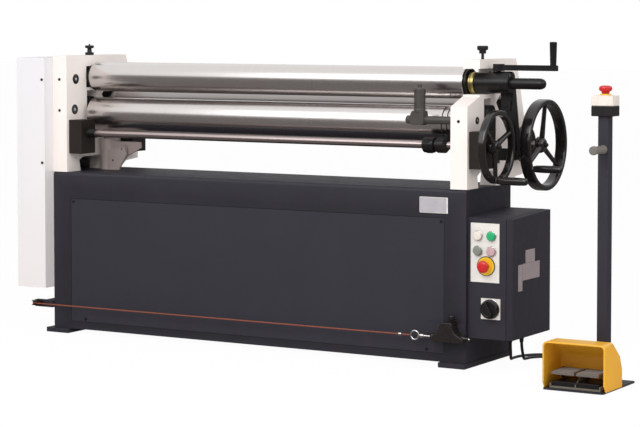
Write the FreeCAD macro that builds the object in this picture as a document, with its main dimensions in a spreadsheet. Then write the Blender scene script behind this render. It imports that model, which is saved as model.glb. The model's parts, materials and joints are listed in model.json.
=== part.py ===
import FreeCAD, Part
import Sketcher
import math
import operator
import os
from FreeCAD import Placement, Rotation, Vector

# Motor-driven three-roll bending machine on a floor cabinet, with a foot-switch column.
# Millimetres. X runs along the rolls, Y to the back, Z up. The origin is on the floor,
# in the middle of the four anchor holes of the feet.

doc = FreeCAD.newDocument("bending_rolls")
sheet = doc.addObject("Spreadsheet::Sheet", "sizes")

SIZES = {
    # the rolls' working length leads, and the room beside them places the frames
    "roll_long": 1583, "roll_shift": 11.5, "roll_room_left": 12, "roll_room_right": 14,
    # cabinet, feet and front panel
    "cab_front": -165, "cab_deep": 345, "cab_high": 588, "cab_wall": 4, "cab_round": 12,
    "foot_high": 17, "foot_wide": 100, "foot_long": 362,
    "anchor_out": 27, "anchor_y": 140, "anchor_rad": 7,
    "panel_inset": 80, "panel_end": 82, "panel_low": 45, "panel_high": 462,
    "panel_thick": 2, "panel_gap": 1.5, "panel_flange": 25,
    "label_x": -178, "label_z": 522, "label_wide": 106, "label_high": 54,
    # side frames
    "frame_thick": 63, "frame_over": 3, "frame_top": 1040,
    "sill_high": 883, "throat_front": -72, "throat_back": 45, "throat_high": 88,
    "rear_top_y": 214, "rear_out_y": 296, "rear_out_z": 792, "rear_low_y": 292, "rear_low_z": 634,
    "heel_y": 214, "heel_z": 628, "arch_front": -80, "arch_back": 60, "arch_top": 658,
    # rolls: radius, axis and travel
    "roll_edge": 11,
    "top_rad": 55, "top_y": 0, "top_z": 959,
    "low_rad": 62.5, "low_y": -8, "low_z": 818.5, "lift_up": 20, "lift_down": 8,
    "back_rad": 55, "back_y": 130, "back_z": 850, "climb_up": 40, "climb_down": 25,
    "climb_angle": 51,
    "groove_wide": 4, "groove_deep": 4, "groove_a": 72, "groove_b": 52, "groove_c": 37,
    "break_in": 24, "break_wide": 8, "break_deep": 3,
    # journals and bearings
    "top_neck": 30, "top_stub": 25, "low_neck": 22, "back_neck": 20, "cone_long": 15,
    "cone_lead": 1, "cone_gap": 0.5,
    "collar_rad": 50, "collar_long": 9, "collar_gap": 4,
    "pivot_half": 40, "pivot_gap": 1.8, "flange_rad": 44, "flange_gap": 2.5,
    "bush_rad": 37.5, "bush_long": 20, "bush_off": -2,
    "slide_half": 30, "slide_rise": 36.5, "slide_low": 60, "slide_out": 15,
    "back_half_w": 32, "back_half_l": 38,
    "run_gap": 0.05, "soft_gap": 0.3,
    # front and rear adjusting shafts
    "front_y": -105, "front_z": 749, "front_rad": 13.2,
    "back_shaft_y": 220, "back_shaft_z": 740, "back_shaft_rad": 12,
    "worm_deep": 85, "worm_low": 75, "worm_high": 126, "worm_left_long": 58, "worm_right_long": 53,
    "worm_clear": 1.5, "back_worm_high": 114,
    "thread_rad": 16, "thread_long": 32, "clutch_rad": 27, "clutch_x": -194, "clutch_half": 44,
    "disc_rad": 62.5, "disc_long": 24, "neck_rad": 30, "neck_long": 22,
    # handwheels
    "wheel_a_rad": 125, "wheel_a_deep": 25, "wheel_a_x": 81,
    "wheel_b_rad": 160, "wheel_b_deep": 40, "wheel_b_x": 104, "rim_thick": 20, "rim_round": 3,
    "hub_rad": 21, "hub_long": 30, "hub_dish": 8, "hub_seat": 4, "spoke_rad": 7,
    "grip_a_rad": 13.5, "grip_a_long": 112, "grip_b_rad": 13, "grip_b_long": 108, "grip_pin": 5,
    # release bearing at the right end
    "house_rad": 34.5, "house_right": 85, "hump_rad": 20, "hump_z": 980, "hump_left": 1,
    "hump_right": 90, "tail_rad": 19, "tail_right": 210,
    "arm_front": 25, "arm_wide": 27, "arm_left": 32, "arm_right": 75, "arm_low_left": 62,
    "arm_low_right": 96, "arm_step": 868,
    "hinge_x": 75, "hinge_z": 715, "hinge_pin": 8, "ear_rad": 20, "ear_wide": 7,
    "crank_x": 36, "crank_hub": 20, "crank_low": 1001, "crank_high": 24, "crank_long": 216,
    "crank_wide": 20, "crank_grip": 12.5, "crank_grip_top": 1101, "crank_stud": 8,
    # release lever on the front of the right frame
    "lever_y": -150, "lever_z": 836, "lever_left": -237, "lever_rad": 14.5, "lever_pin": 9,
    "lever_pin_long": 24, "lever_x": -188, "lever_head": 20, "lever_low": 867, "lever_top": 945,
    "lever_nub": 7.5, "lever_nub_high": 11,
    # screws on top of the frames
    "knob_r_x": -30, "knob_r_y": 10, "knob_l_x": 35, "knob_l_y": 17, "knob_rad": 19, "stud_rad": 5,
    "stud_deep": 18,
    # gear cover and chain drive
    "cover_long": 130, "cover_front": -218, "cover_back": 200, "cover_low": 170, "cover_top": 1033,
    "cover_wall": 3, "drive_z": 330, "sprocket_rad": 50, "sprocket_wide": 12, "sprocket_x": -65,
    "teeth": 17, "tooth_high": 6, "chain_thick": 9, "chain_wide": 18, "drive_neck": 15,
    "reducer_long": 150, "reducer_half": 95, "motor_rad": 75, "motor_long": 290,
    # electrical box with its door and controls
    "box_long": 141, "box_deep": 300, "box_low": 105, "box_front_high": 407, "box_back_high": 419,
    "box_wall": 2.5, "door_thick": 25, "door_gap": 0.5,
    "plate_thick": 2, "plate_x": 8, "plate_wide": 106, "plate_low": 296, "plate_high": 199,
    "button_rad": 14, "button_stem": 10, "button_out": 12, "bezel_rad": 17, "button_travel": 4,
    "button_left": 36, "button_pitch_x": 50, "button_low": 402, "button_pitch_z": 51,
    "stop_x": 66, "stop_z": 351, "stop_ring": 33, "stop_head": 19, "stop_out": 36, "stop_neck": 11,
    "switch_x": 49, "switch_low": 173, "switch_side": 70, "switch_knob": 32, "switch_out": 22,
    "switch_stem": 8,
    "door_a_y": -20, "door_a_z": 415, "door_a_wide": 38, "door_a_high": 45,
    "door_b_y": -60, "door_b_z": 285, "door_b_wide": 105, "door_b_high": 110,
    # screws, plugs and the support behind the left end of the rolls
    "screw_rad": 5, "screw_out": 3, "screw_in": 30, "screw_high": 951, "screw_low": 835,
    "sill_screw_z": 834, "cover_screw_in": 12, "cover_screw_low": 640,
    "panel_screw_in": 12, "panel_screw_far": 66,
    "plug_rad": 19, "plug_small": 13, "plug_out": 2, "plug_a_y": -108, "plug_a_z": 952,
    "plug_b_y": -115, "plug_b_z": 838, "plug_c_y": -91, "plug_c_z": 835,
    "boss_in": 35, "boss_y": 45, "boss_rad": 28.5, "boss_high": 117, "boss_cap": 7,
    "web_long": 157, "web_high": 107, "web_thick": 10,
    # safety rope round the front and the left side
    "rope_rad": 2.6, "rope_y": -190, "rope_z": 105, "wheel_rad": 22, "wheel_x": -71,
    "rope_back": 140, "eye_x": -164, "head_left": -122, "head_rad": 13, "dome_left": -95,
    "dome_long": 75, "boot_long": 44, "dome_rad": 32, "dome_out": 22, "dome_up": 24,
    "reset_rad": 11, "reset_in": 14,
    "reset_stem": 5, "bracket_high": 26, "bracket_deep": 36, "bracket_wall": 4, "rope_pin": 4,
    "backing_x": -150, "backing_up": 7, "backing_high": 40, "backing_thick": 3,
    "ring_rad": 15, "ring_wire": 3.5, "ring_in": 20, "clamp_in": 82, "clamp_rad": 6, "clamp_long": 12,
    # foot-switch column
    "station_left": 385, "station_front": -395, "station_wide": 208, "station_deep": 266,
    "station_thick": 6, "post_x": 527, "post_y": -235, "post_side": 35, "post_wall": 3,
    "post_top": 868, "hood_wide": 215, "hood_deep": 140, "hood_high": 150, "hood_wall": 3,
    "stop_box_wide": 75, "stop_box_deep": 57, "stop_box_base": 33, "stop_box_top": 34,
    "peg_rad": 14, "peg_long": 82, "peg_z": 762,
    "pedal_long": 100, "pedal_thick": 6, "pedal_high": 58,
    # leads and their glands
    "lead_rad": 5, "gland_rad": 10, "gland_high": 16, "gland_a_x": 75, "gland_a_y": 20,
    "gland_b_x": 105, "gland_b_y": 45, "post_gland_z": 20, "pedal_gland_x": 441, "pedal_gland_z": 16,
}
for row, (alias, value) in enumerate(SIZES.items(), 1):
    sheet.set("A%d" % row, str(value))
    sheet.setAlias("A%d" % row, alias)
doc.recompute()

OPERATIONS = {"+": operator.add, "-": operator.sub, "*": operator.mul, "/": operator.truediv}


class Size(float):
    """A length that also knows the sheet expression it comes from."""

    def __new__(cls, value, text=None):
        size = float.__new__(cls, value)
        size.text = text or "(%r)" % float(value)
        return size

    def __add__(self, other):
        return combined(self, "+", other)

    def __radd__(self, other):
        return combined(other, "+", self)

    def __sub__(self, other):
        return combined(self, "-", other)

    def __rsub__(self, other):
        return combined(other, "-", self)

    def __mul__(self, other):
        return combined(self, "*", other)

    def __rmul__(self, other):
        return combined(other, "*", self)

    def __truediv__(self, other):
        return combined(self, "/", other)

    def __neg__(self):
        return combined(0, "-", self)


def as_size(value):
    return value if isinstance(value, Size) else Size(value)


def combined(first, sign, second):
    first = as_size(first)
    second = as_size(second)
    value = OPERATIONS[sign](float(first), float(second))
    return Size(value, "(%s %s %s)" % (first.text, sign, second.text))


class Sheet:
    """Each alias of the sheet as an attribute."""


S = Sheet()
for alias in SIZES:
    setattr(S, alias, Size(sheet.get(alias), "sizes." + alias))

AXIS_TURN = {"X": Rotation(Vector(0, 1, 0), 90), "Y": Rotation(Vector(1, 0, 0), -90), "Z": Rotation()}
# a flat outline (u, v) is drawn on XY, on XZ (padded towards -Y) or on YZ (padded towards +X)
PLANE_TURN = {"XY": Rotation(), "XZ": Rotation(Vector(1, 0, 0), 90), "YZ": Rotation(Vector(1, 1, 1), 120)}
# a turned outline (along, radius) lies along X, Y or Z
LATHE_TURN = {"X": Rotation(), "Y": Rotation(Vector(0, 0, 1), 90), "Z": Rotation(Vector(0, 1, 0), -90)}
NODES = {}


def bind(thing, prop, size):
    thing.setExpression(prop, as_size(size).text)


def place(thing, x, y, z, turn=Rotation()):
    thing.Placement = Placement(Vector(float(x), float(y), float(z)), turn)
    bind(thing, "Placement.Base.x", x)
    bind(thing, "Placement.Base.y", y)
    bind(thing, "Placement.Base.z", z)
    return thing


def block(name, x, y, z, long, deep, high):
    """A box from its low corner."""
    box = doc.addObject("Part::Box", name)
    bind(box, "Length", long)
    bind(box, "Width", deep)
    bind(box, "Height", high)
    return place(box, x, y, z)


def rod(name, axis, x, y, z, radius, long):
    """A round bar from the middle of its low end."""
    bar = doc.addObject("Part::Cylinder", name)
    bind(bar, "Radius", radius)
    bind(bar, "Height", long)
    return place(bar, x, y, z, AXIS_TURN[axis])


def join(name, *pieces):
    whole = doc.addObject("Part::MultiFuse", name)
    whole.Shapes = list(pieces)
    whole.Refine = True
    return whole


def cut(name, base, *tools):
    rest = doc.addObject("Part::Cut", name)
    rest.Base = base
    rest.Tool = tools[0] if len(tools) == 1 else join(name + "_tools", *tools)
    rest.Refine = True
    return rest


def group(name, *pieces):
    """Separate solids that share one node."""
    holder = doc.addObject("Part::Compound", name)
    holder.Links = list(pieces)
    return holder


def new_sketch(body, name):
    sketch = body.newObject("Sketcher::SketchObject", name)
    plane = [feature for feature in body.Origin.OriginFeatures if feature.Role == "XY_Plane"][0]
    sketch.AttachmentSupport = [(plane, "")]
    sketch.MapMode = "FlatFace"
    return sketch


def pin_point(sketch, line, end, u, v):
    """Ties a point of the sketch to its two bound distances from the origin."""
    for kind, value in (("DistanceX", u), ("DistanceY", v)):
        number = sketch.addConstraint(Sketcher.Constraint(kind, -1, 1, line, end, float(value)))
        if isinstance(value, Size):
            sketch.setExpression("Constraints[%d]" % number, value.text)


def draw_outline(sketch, points):
    """A closed outline of straight lines, every corner tied to the origin."""
    corners = [Vector(float(u), float(v), 0) for u, v in points]
    first = sketch.GeometryCount
    count = len(corners)
    for index in range(count):
        sketch.addGeometry(Part.LineSegment(corners[index], corners[(index + 1) % count]), False)
    for index in range(count):
        ahead = first + (index + 1) % count
        sketch.addConstraint(Sketcher.Constraint("Coincident", first + index, 2, ahead, 1))
    for index, (u, v) in enumerate(points):
        pin_point(sketch, first + index, 1, u, v)


def draw_hole(sketch, u, v, radius):
    circle = Part.Circle(Vector(float(u), float(v), 0), Vector(0, 0, 1), float(radius))
    index = sketch.addGeometry(circle, False)
    pin_point(sketch, index, 3, u, v)
    number = sketch.addConstraint(Sketcher.Constraint("Radius", index, float(radius)))
    sketch.setExpression("Constraints[%d]" % number, as_size(radius).text)


def prism(name, plane, points, start, thick, holes=()):
    """A flat outline with round holes, padded from `start`, the place of its low face."""
    body = doc.addObject("PartDesign::Body", name)
    sketch = new_sketch(body, name + "_outline")
    draw_outline(sketch, points)
    for u, v, radius in holes:
        draw_hole(sketch, u, v, radius)
    pad = body.newObject("PartDesign::Pad", name + "_pad")
    pad.Profile = sketch
    bind(pad, "Length", thick)
    sketch.Visibility = False
    if plane == "XY":
        return place(body, 0, 0, start, PLANE_TURN[plane])
    if plane == "XZ":
        return place(body, 0, start + thick, 0, PLANE_TURN[plane])
    return place(body, start, 0, 0, PLANE_TURN[plane])


def turned(name, axis, x, y, z, points):
    """A round piece from its outline (along, radius), measured from its own place."""
    body = doc.addObject("PartDesign::Body", name)
    sketch = new_sketch(body, name + "_outline")
    draw_outline(sketch, points)
    turn = body.newObject("PartDesign::Revolution", name + "_turn")
    turn.Profile = sketch
    turn.ReferenceAxis = (sketch, ["H_Axis"])
    turn.Angle = 360
    return place(body, x, y, z, LATHE_TURN[axis])


def stepped(*steps):
    """The outline of a stepped shaft from (along, radius) pairs: each radius holds to the next."""
    points = [(steps[0][0], 0)]
    for index in range(len(steps) - 1):
        points.append((steps[index][0], steps[index][1]))
        points.append((steps[index + 1][0], steps[index][1]))
    points.append((steps[-1][0], 0))
    return points


def tube_outline(start, end, inner, outer):
    return [(start, inner), (start, outer), (end, outer), (end, inner)]


def rounded(name, base, radius, chosen):
    """Rounds the chosen edges of a finished piece."""
    doc.recompute()
    fillet = doc.addObject("Part::Fillet", name)
    fillet.Base = base
    edges = enumerate(base.Shape.Edges, 1)
    fillet.Edges = [(number, float(radius), float(radius)) for number, edge in edges if chosen(edge)]
    return fillet


def ready(name, shape):
    """A piece whose shape is built from the sheet's sizes with Part's own functions."""
    piece = doc.addObject("Part::Feature", name)
    piece.Shape = shape
    return piece


def node(name, piece):
    piece.Label = name
    NODES[name] = piece
    return piece


def along(edge, axis):
    """True for a straight edge along the axis."""
    if not isinstance(edge.Curve, Part.Line):
        return False
    return abs(getattr(edge.tangentAt(edge.FirstParameter), axis)) > 0.999


# ---------------------------------------------------------------- places worked out from the sizes
roll_left = S.roll_shift - S.roll_long / 2
roll_right = roll_left + S.roll_long
anchor_x = roll_right + S.anchor_out
left_in = roll_left - S.roll_room_left
left_out = left_in - S.frame_thick
right_in = roll_right + S.roll_room_right
right_out = right_in + S.frame_thick
cab_left = left_out
cab_right = right_out - S.frame_over
cab_long = cab_right - cab_left
cab_back = S.cab_front + S.cab_deep
cab_top = S.foot_high + S.cab_high
panel_left = cab_left + S.panel_inset
panel_long = cab_long - S.panel_inset - S.panel_end
throat_floor = S.top_z - S.bush_rad - S.soft_gap
bush_left = right_in + S.bush_off
bush_right = bush_left + S.bush_long
house_left = bush_right + S.door_gap
climb = (-math.cos(math.radians(S.climb_angle)), math.sin(math.radians(S.climb_angle)))
across = (math.sin(math.radians(S.climb_angle)), math.cos(math.radians(S.climb_angle)))


# the sheet gives these places along X from the outer face of the right or the left frame
for alias in ("house_right", "hump_left", "hump_right", "tail_right", "arm_left", "arm_right",
              "arm_low_left", "arm_low_right", "hinge_x", "crank_x", "lever_left", "lever_x",
              "knob_r_x", "clutch_x",
              "wheel_a_x", "wheel_b_x", "plate_x", "button_left", "stop_x", "switch_x", "label_x",
              "eye_x", "head_left", "dome_left", "backing_x", "station_left", "post_x", "gland_a_x",
              "gland_b_x", "pedal_gland_x"):
    setattr(S, alias, right_out + getattr(S, alias))
for alias in ("knob_l_x", "sprocket_x", "wheel_x"):
    setattr(S, alias, left_out + getattr(S, alias))


# ---------------------------------------------------------------- cabinet
def make_cabinet():
    wall = S.cab_wall
    skin = block("cabinet_blank", cab_left, S.cab_front, S.foot_high, cab_long, S.cab_deep, S.cab_high)
    soft = rounded("cabinet_soft", skin, S.cab_round,
                   lambda edge: along(edge, "x") and edge.CenterOfMass.z > cab_top - 1)
    inside = block("cabinet_inside", cab_left + wall, S.cab_front + wall, S.foot_high - 1,
                   cab_long - 2 * wall, S.cab_deep - 2 * wall, S.cab_high - wall + 1)
    seat = block("panel_seat", panel_left, S.cab_front - 1, S.panel_low, panel_long, S.panel_thick + 1,
                 S.panel_high)
    window = block("panel_window", panel_left + S.panel_flange, S.cab_front - 1,
                   S.panel_low + S.panel_flange, panel_long - 2 * S.panel_flange, 2 * wall,
                   S.panel_high - 2 * S.panel_flange)
    shaft_hole = rod("cabinet_shaft_hole", "X", cab_left - 1, S.low_y, S.drive_z,
                     S.drive_neck + 4, wall + 2)
    node("cabinet_shell", cut("cabinet_shell", soft, inside, seat, window, shaft_hole))

    node("front_panel", block("front_panel", panel_left + S.panel_gap, S.cab_front,
                              S.panel_low + S.panel_gap, panel_long - 2 * S.panel_gap,
                              S.panel_thick, S.panel_high - 2 * S.panel_gap))


def make_feet():
    feet = []
    for side, sign in (("left", -1), ("right", 1)):
        middle = sign * anchor_x
        half_x = S.foot_wide / 2
        half_y = S.foot_long / 2
        corners = [(middle - half_x, -half_y), (middle + half_x, -half_y),
                   (middle + half_x, half_y), (middle - half_x, half_y)]
        holes = [(middle, -S.anchor_y, S.anchor_rad), (middle, S.anchor_y, S.anchor_rad)]
        feet.append(prism("foot_" + side, "XY", corners, 0, S.foot_high, holes))
    node("feet", group("feet", *feet))


# ---------------------------------------------------------------- side frames
def slide_window(name, start):
    """The upright guide of the lower roll's block, through the frame's thickness."""
    low = S.low_z - S.slide_low - S.lift_down - 1
    high = S.low_z + S.slide_half + S.slide_rise + S.lift_up + 2
    return block(name, start - 1, S.low_y - S.slide_half - S.soft_gap, low, S.frame_thick + 2,
                 2 * (S.slide_half + S.soft_gap), high - low)


def slanted(name, start, long, low, high, half):
    """A bar through a frame along X, tilted to the rear roll's climb."""
    bar = doc.addObject("Part::Box", name)
    bind(bar, "Length", long)
    bind(bar, "Width", high - low)
    bind(bar, "Height", 2 * half)
    corner_y = S.back_y + low * climb[0] + half * across[0]
    corner_z = S.back_z + low * climb[1] + half * across[1]
    return place(bar, start, corner_y, corner_z, Rotation(Vector(1, 0, 0), 180 - float(S.climb_angle)))


def frame_foot_outline():
    return [(S.arch_back, cab_top), (S.arch_back + 8, S.arch_top - 12), (S.arch_back - 14, S.arch_top),
            (S.arch_front + 14, S.arch_top), (S.arch_front - 8, S.arch_top - 12), (S.arch_front, cab_top)]


def frame_back_outline():
    return [(S.rear_top_y, S.frame_top), (S.rear_out_y, S.rear_out_z), (S.rear_low_y, S.rear_low_z),
            (S.heel_y, S.heel_z), (cab_back, cab_top)]


def make_frames():
    shafts = [(S.front_y, S.front_z, S.front_rad + S.soft_gap),
              (S.back_shaft_y, S.back_shaft_z, S.back_shaft_rad + S.soft_gap)]
    slot_low = -S.climb_down - S.back_half_l - 1
    slot_high = S.climb_up + S.back_half_l + 1

    profile = [(S.cab_front, cab_top), (S.cab_front, S.frame_top)] + frame_back_outline()
    blank = prism("frame_left_blank", "YZ", profile + frame_foot_outline(), left_out, S.frame_thick,
                  shafts[1:])
    half = S.pivot_half
    pocket = block("pivot_window", left_out - 1, S.top_y - half - S.pivot_gap, S.top_z - half - S.soft_gap,
                   S.frame_thick + 2, 2 * (half + S.pivot_gap), 2 * (half + S.soft_gap))
    slot = slanted("left_slot", left_out - 1, S.frame_thick + 2, slot_low, slot_high,
                   S.back_half_w + S.soft_gap)
    stud = rod("left_stud_hole", "Z", S.knob_l_x, S.knob_l_y, S.frame_top - S.stud_deep,
               S.stud_rad + S.run_gap, S.stud_deep + 1)
    node("frame_left", cut("frame_left", blank, pocket, slide_window("left_guide", left_out), slot, stud))

    profile = [(S.cab_front, cab_top), (S.cab_front, S.sill_high),
               (S.throat_front, throat_floor - 5), (S.throat_front, throat_floor),
               (S.throat_back, throat_floor), (S.throat_back, throat_floor + S.throat_high),
               (S.throat_front, throat_floor + S.throat_high), (S.throat_front, S.frame_top)]
    blank = prism("frame_right_blank", "YZ", profile + frame_back_outline() + frame_foot_outline(),
                  right_in, S.frame_thick, shafts)
    slot = slanted("right_slot", right_in - 1, S.frame_thick + 2, slot_low, slot_high,
                   S.back_half_w + S.soft_gap)
    stud = rod("right_stud_hole", "Z", S.knob_r_x, S.knob_r_y, S.frame_top - S.stud_deep,
               S.stud_rad + S.run_gap, S.stud_deep + 1)
    lever = rod("lever_pin_hole", "X", right_in - 1, S.lever_y, S.lever_z, S.lever_pin + S.run_gap,
                S.lever_pin_long + 2)
    node("frame_right", cut("frame_right", blank, slide_window("right_guide", right_in), slot, stud, lever))


# ---------------------------------------------------------------- rolls and their bearings
def make_rolls():
    left_end = left_out - roll_left + 3
    neck_end = house_left - S.cone_lead - roll_left
    collar = right_in - S.collar_gap - S.collar_long - roll_left
    blank = turned("top_roll_blank", "X", roll_left, S.top_y, S.top_z, [
        (left_end, 0), (left_end, S.top_stub), (0, S.top_stub), (0, S.top_rad), (S.roll_long, S.top_rad),
        (S.roll_long, S.top_neck), (collar, S.top_neck), (collar, S.collar_rad),
        (collar + S.collar_long, S.collar_rad), (collar + S.collar_long, S.top_neck),
        (neck_end, S.top_neck), (neck_end + S.cone_long, S.top_neck - S.cone_long),
        (neck_end + S.cone_long, 0)])
    node("top_roll", rounded("top_roll", blank, S.roll_edge,
                             lambda edge: is_rim(edge, S.top_rad, roll_left)))

    overhang = S.sprocket_x - S.sprocket_wide - roll_left
    right_end = right_out + S.slide_out - 3 - roll_left
    outline = [(overhang, 0), (overhang, S.low_neck), (0, S.low_neck), (0, S.low_rad)]
    floor_rad = S.low_rad - S.groove_deep
    for off in (S.groove_a, S.groove_b, S.groove_c):
        near = S.roll_long - off
        far = near + S.groove_wide
        outline += [(near, S.low_rad), (near, floor_rad), (far, floor_rad), (far, S.low_rad)]
    outline += [(S.roll_long, S.low_rad), (S.roll_long, S.low_neck), (right_end, S.low_neck), (right_end, 0)]
    blank = turned("lower_roll_blank", "X", roll_left, S.low_y, S.low_z, outline)
    node("lower_roll", rounded("lower_roll", blank, S.roll_edge,
                               lambda edge: is_rim(edge, S.low_rad, roll_left)))

    left_end = left_out + 3 - roll_left
    right_end = right_out - 3 - roll_left
    blank = turned("rear_roll_blank", "X", roll_left, S.back_y, S.back_z, [
        (left_end, 0), (left_end, S.back_neck), (0, S.back_neck), (0, S.back_rad),
        (S.break_in, S.back_rad), (S.break_in, S.back_rad - S.break_deep),
        (S.break_in + S.break_wide, S.back_rad - S.break_deep), (S.break_in + S.break_wide, S.back_rad),
        (S.roll_long, S.back_rad), (S.roll_long, S.back_neck),
        (right_end, S.back_neck), (right_end, 0)])
    node("rear_roll", rounded("rear_roll", blank, S.roll_edge / 2,
                              lambda edge: is_rim(edge, S.back_rad, roll_left)))


def is_rim(edge, radius, place_x):
    """True for the round edge of a face end at this place along X."""
    if not isinstance(edge.Curve, Part.Circle):
        return False
    return abs(edge.Curve.Radius - radius) < 0.01 and abs(edge.CenterOfMass.x - place_x) < 0.01


def make_pivot_bearing():
    half = S.pivot_half
    body = block("pivot_block", left_out + 1, S.top_y - half, S.top_z - half, S.frame_thick - 2,
                 2 * half, 2 * half)
    neck = rod("pivot_neck", "X", left_in - 2, S.top_y, S.top_z, S.flange_rad - 8, S.flange_gap + 3)
    flange = rod("pivot_flange", "X", left_in + S.flange_gap, S.top_y, S.top_z, S.flange_rad,
                 roll_left - S.soft_gap - left_in - S.flange_gap)
    bore = rod("pivot_bore", "X", left_out, S.top_y, S.top_z, S.top_stub + S.run_gap,
               roll_left - left_out + 1)
    node("pivot_bearing", cut("pivot_bearing", join("pivot_body", body, neck, flange), bore))

    node("brass_bush", turned("brass_bush", "X", bush_left, S.top_y, S.top_z, tube_outline(
        0, S.bush_long, S.top_neck + S.run_gap, S.bush_rad)))


def make_slide_blocks():
    """Bearing blocks that carry the lower roll up and down in the frames, on their jack screws."""
    pieces = []
    rise = S.low_z + S.slide_rise
    for side, start in (("left", left_out - S.slide_out + 6), ("right", right_in)):
        long = S.frame_thick + S.slide_out - 6 if side == "left" else S.frame_thick + S.slide_out
        start = as_size(start)
        box = block("slide_box_" + side, start, S.low_y - S.slide_half, S.low_z - S.slide_low, long,
                    2 * S.slide_half, S.slide_low + S.slide_rise)
        cap = rod("slide_cap_" + side, "X", start, S.low_y, rise, S.slide_half, long)
        bore = rod("slide_bore_" + side, "X", start - 1, S.low_y, S.low_z, S.low_neck + S.run_gap,
                   long - 1 if side == "right" else long + 2)
        pieces.append(cut("lower_block_" + side, join("slide_body_" + side, box, cap), bore))
    node("lower_blocks", group("lower_blocks", *pieces))


def make_rear_blocks():
    pieces = []
    for side, start in (("left", left_out + 1), ("right", right_in + 1)):
        body = slanted("rear_body_" + side, start, S.frame_thick - 2, -S.back_half_l,
                       S.back_half_l, S.back_half_w)
        bore = rod("rear_bore_" + side, "X", start - 1, S.back_y, S.back_z, S.back_neck + S.run_gap,
                   S.frame_thick)
        pieces.append(cut("rear_block_" + side, body, bore))
    node("rear_blocks", group("rear_blocks", *pieces))


# ---------------------------------------------------------------- adjusting shafts and worm boxes
def make_front_drive():
    worm_front = S.front_y - S.worm_deep / 2 - 4
    low = S.front_z - S.worm_low
    pieces = []
    for side, start, long in (("left", left_in, S.worm_left_long), ("right", right_out, S.worm_right_long)):
        case = block("front_case_" + side, start, worm_front, low, long, S.worm_deep,
                     S.worm_high)
        hole = rod("front_case_hole_" + side, "X", start + (12 if side == "left" else -1), S.front_y,
                   S.front_z, S.front_rad + S.run_gap, long + 2)
        relief = rod("front_case_relief_" + side, "X", start - 1, S.low_y, S.low_z - S.lift_down,
                     S.low_rad + S.worm_clear, long + 2)
        pieces.append(cut("front_worm_box_" + side, case, hole, relief))
    node("front_worm_boxes", group("front_worm_boxes", *pieces))

    start = left_in + 14
    hub = S.wheel_a_x - S.hub_long / 2 - S.hub_seat - start
    thread = left_in + S.worm_left_long + 2 - start
    shaft = turned("front_shaft", "X", start, S.front_y, S.front_z, stepped(
        (0, S.front_rad), (thread, S.thread_rad), (thread + S.thread_long, S.front_rad),
        (S.clutch_x - start, S.clutch_rad), (S.clutch_x + S.clutch_half - start, S.front_rad),
        (hub, S.front_rad)))
    node("front_shaft", shaft)
    sleeve_x = S.clutch_x + S.clutch_half + 3
    sleeve = turned("clutch_sleeve_blank", "X", sleeve_x, S.front_y, S.front_z, [
        (0, S.front_rad + S.run_gap), (0, S.clutch_rad - 6), (9, S.clutch_rad - 6), (9, S.clutch_rad),
        (S.clutch_half - 8, S.clutch_rad), (S.clutch_half, S.clutch_rad - 8),
        (S.clutch_half, S.front_rad + S.run_gap)])
    slot = block("clutch_slot", sleeve_x - 1, S.front_y - 5, S.front_z - 2 * S.clutch_rad, 10, 10,
                 4 * S.clutch_rad)
    node("clutch_sleeve", cut("clutch_sleeve", sleeve, slot))


def wheel(name, x, y, z, rim, deep, spokes):
    """A handwheel: deep rim, dished hub and three round spokes that lean from the hub to the rim."""
    half = deep / 2
    inner = rim - S.rim_thick
    soft = S.rim_round
    ring = turned(name + "_rim", "X", x, y, z, [
        (-half, inner + soft), (-half, rim - soft), (soft - half, rim), (half - soft, rim),
        (half, rim - soft), (half, inner + soft), (half - soft, inner), (soft - half, inner)])
    front = S.hub_long / 2 - S.hub_dish
    hub = turned(name + "_hub", "X", x, y, z, [
        (front - S.hub_long, 0), (front - S.hub_long, S.hub_rad), (front - soft / 2, S.hub_rad),
        (front, S.hub_rad - soft / 2), (front, 0)])
    pieces = [ring, hub]
    for number, angle in enumerate(spokes):
        spoke = doc.addObject("Part::Cone", "%s_spoke_%d" % (name, number))
        bind(spoke, "Radius1", S.spoke_rad + 2.5)
        bind(spoke, "Radius2", S.spoke_rad)
        bind(spoke, "Height", inner + soft)
        slope = math.radians(angle)
        lean = Vector(float(S.hub_dish / inner), math.cos(slope), math.sin(slope))
        pieces.append(place(spoke, x - S.hub_dish, y, z, Rotation(Vector(0, 0, 1), lean)))
    return join(name + "_whole", *pieces)


def handled_wheel(name, x, y, z, rim, deep, spokes, angle, grip_rad, grip_long):
    """The wheel with its handle pin, and the free-turning grip on the pin."""
    reach = rim - S.rim_thick / 2
    face = deep / 2
    pin_y = y + reach * math.cos(math.radians(angle))
    pin_z = z + reach * math.sin(math.radians(angle))
    body = wheel(name, x, y, z, rim, deep, spokes)
    seat = S.rim_thick / 2
    pin = rod(name + "_pin", "X", x + face - seat, pin_y, pin_z, S.grip_pin, seat + grip_long)
    shaft = S.front_rad if name == "handwheel_front" else S.back_shaft_rad
    bore = rod(name + "_bore", "X", x - S.hub_long, y, z, shaft,
               S.hub_long / 2 - S.hub_seat)
    node(name, cut(name, join(name + "_joined", body, pin), bore))
    start = face + 1
    end = face + grip_long + 2
    grip = turned(name + "_grip", "X", x, pin_y, pin_z, [
        (start, S.grip_pin + S.run_gap), (start, grip_rad - 4), (start + 8, grip_rad - 1),
        (start + 30, grip_rad), (end - 30, grip_rad), (end - 6, grip_rad - 1),
        (end, grip_rad - 5), (end, 0), (face + grip_long + S.soft_gap, 0),
        (face + grip_long + S.soft_gap, S.grip_pin + S.run_gap)])
    node(name + "_grip", grip)


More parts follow.
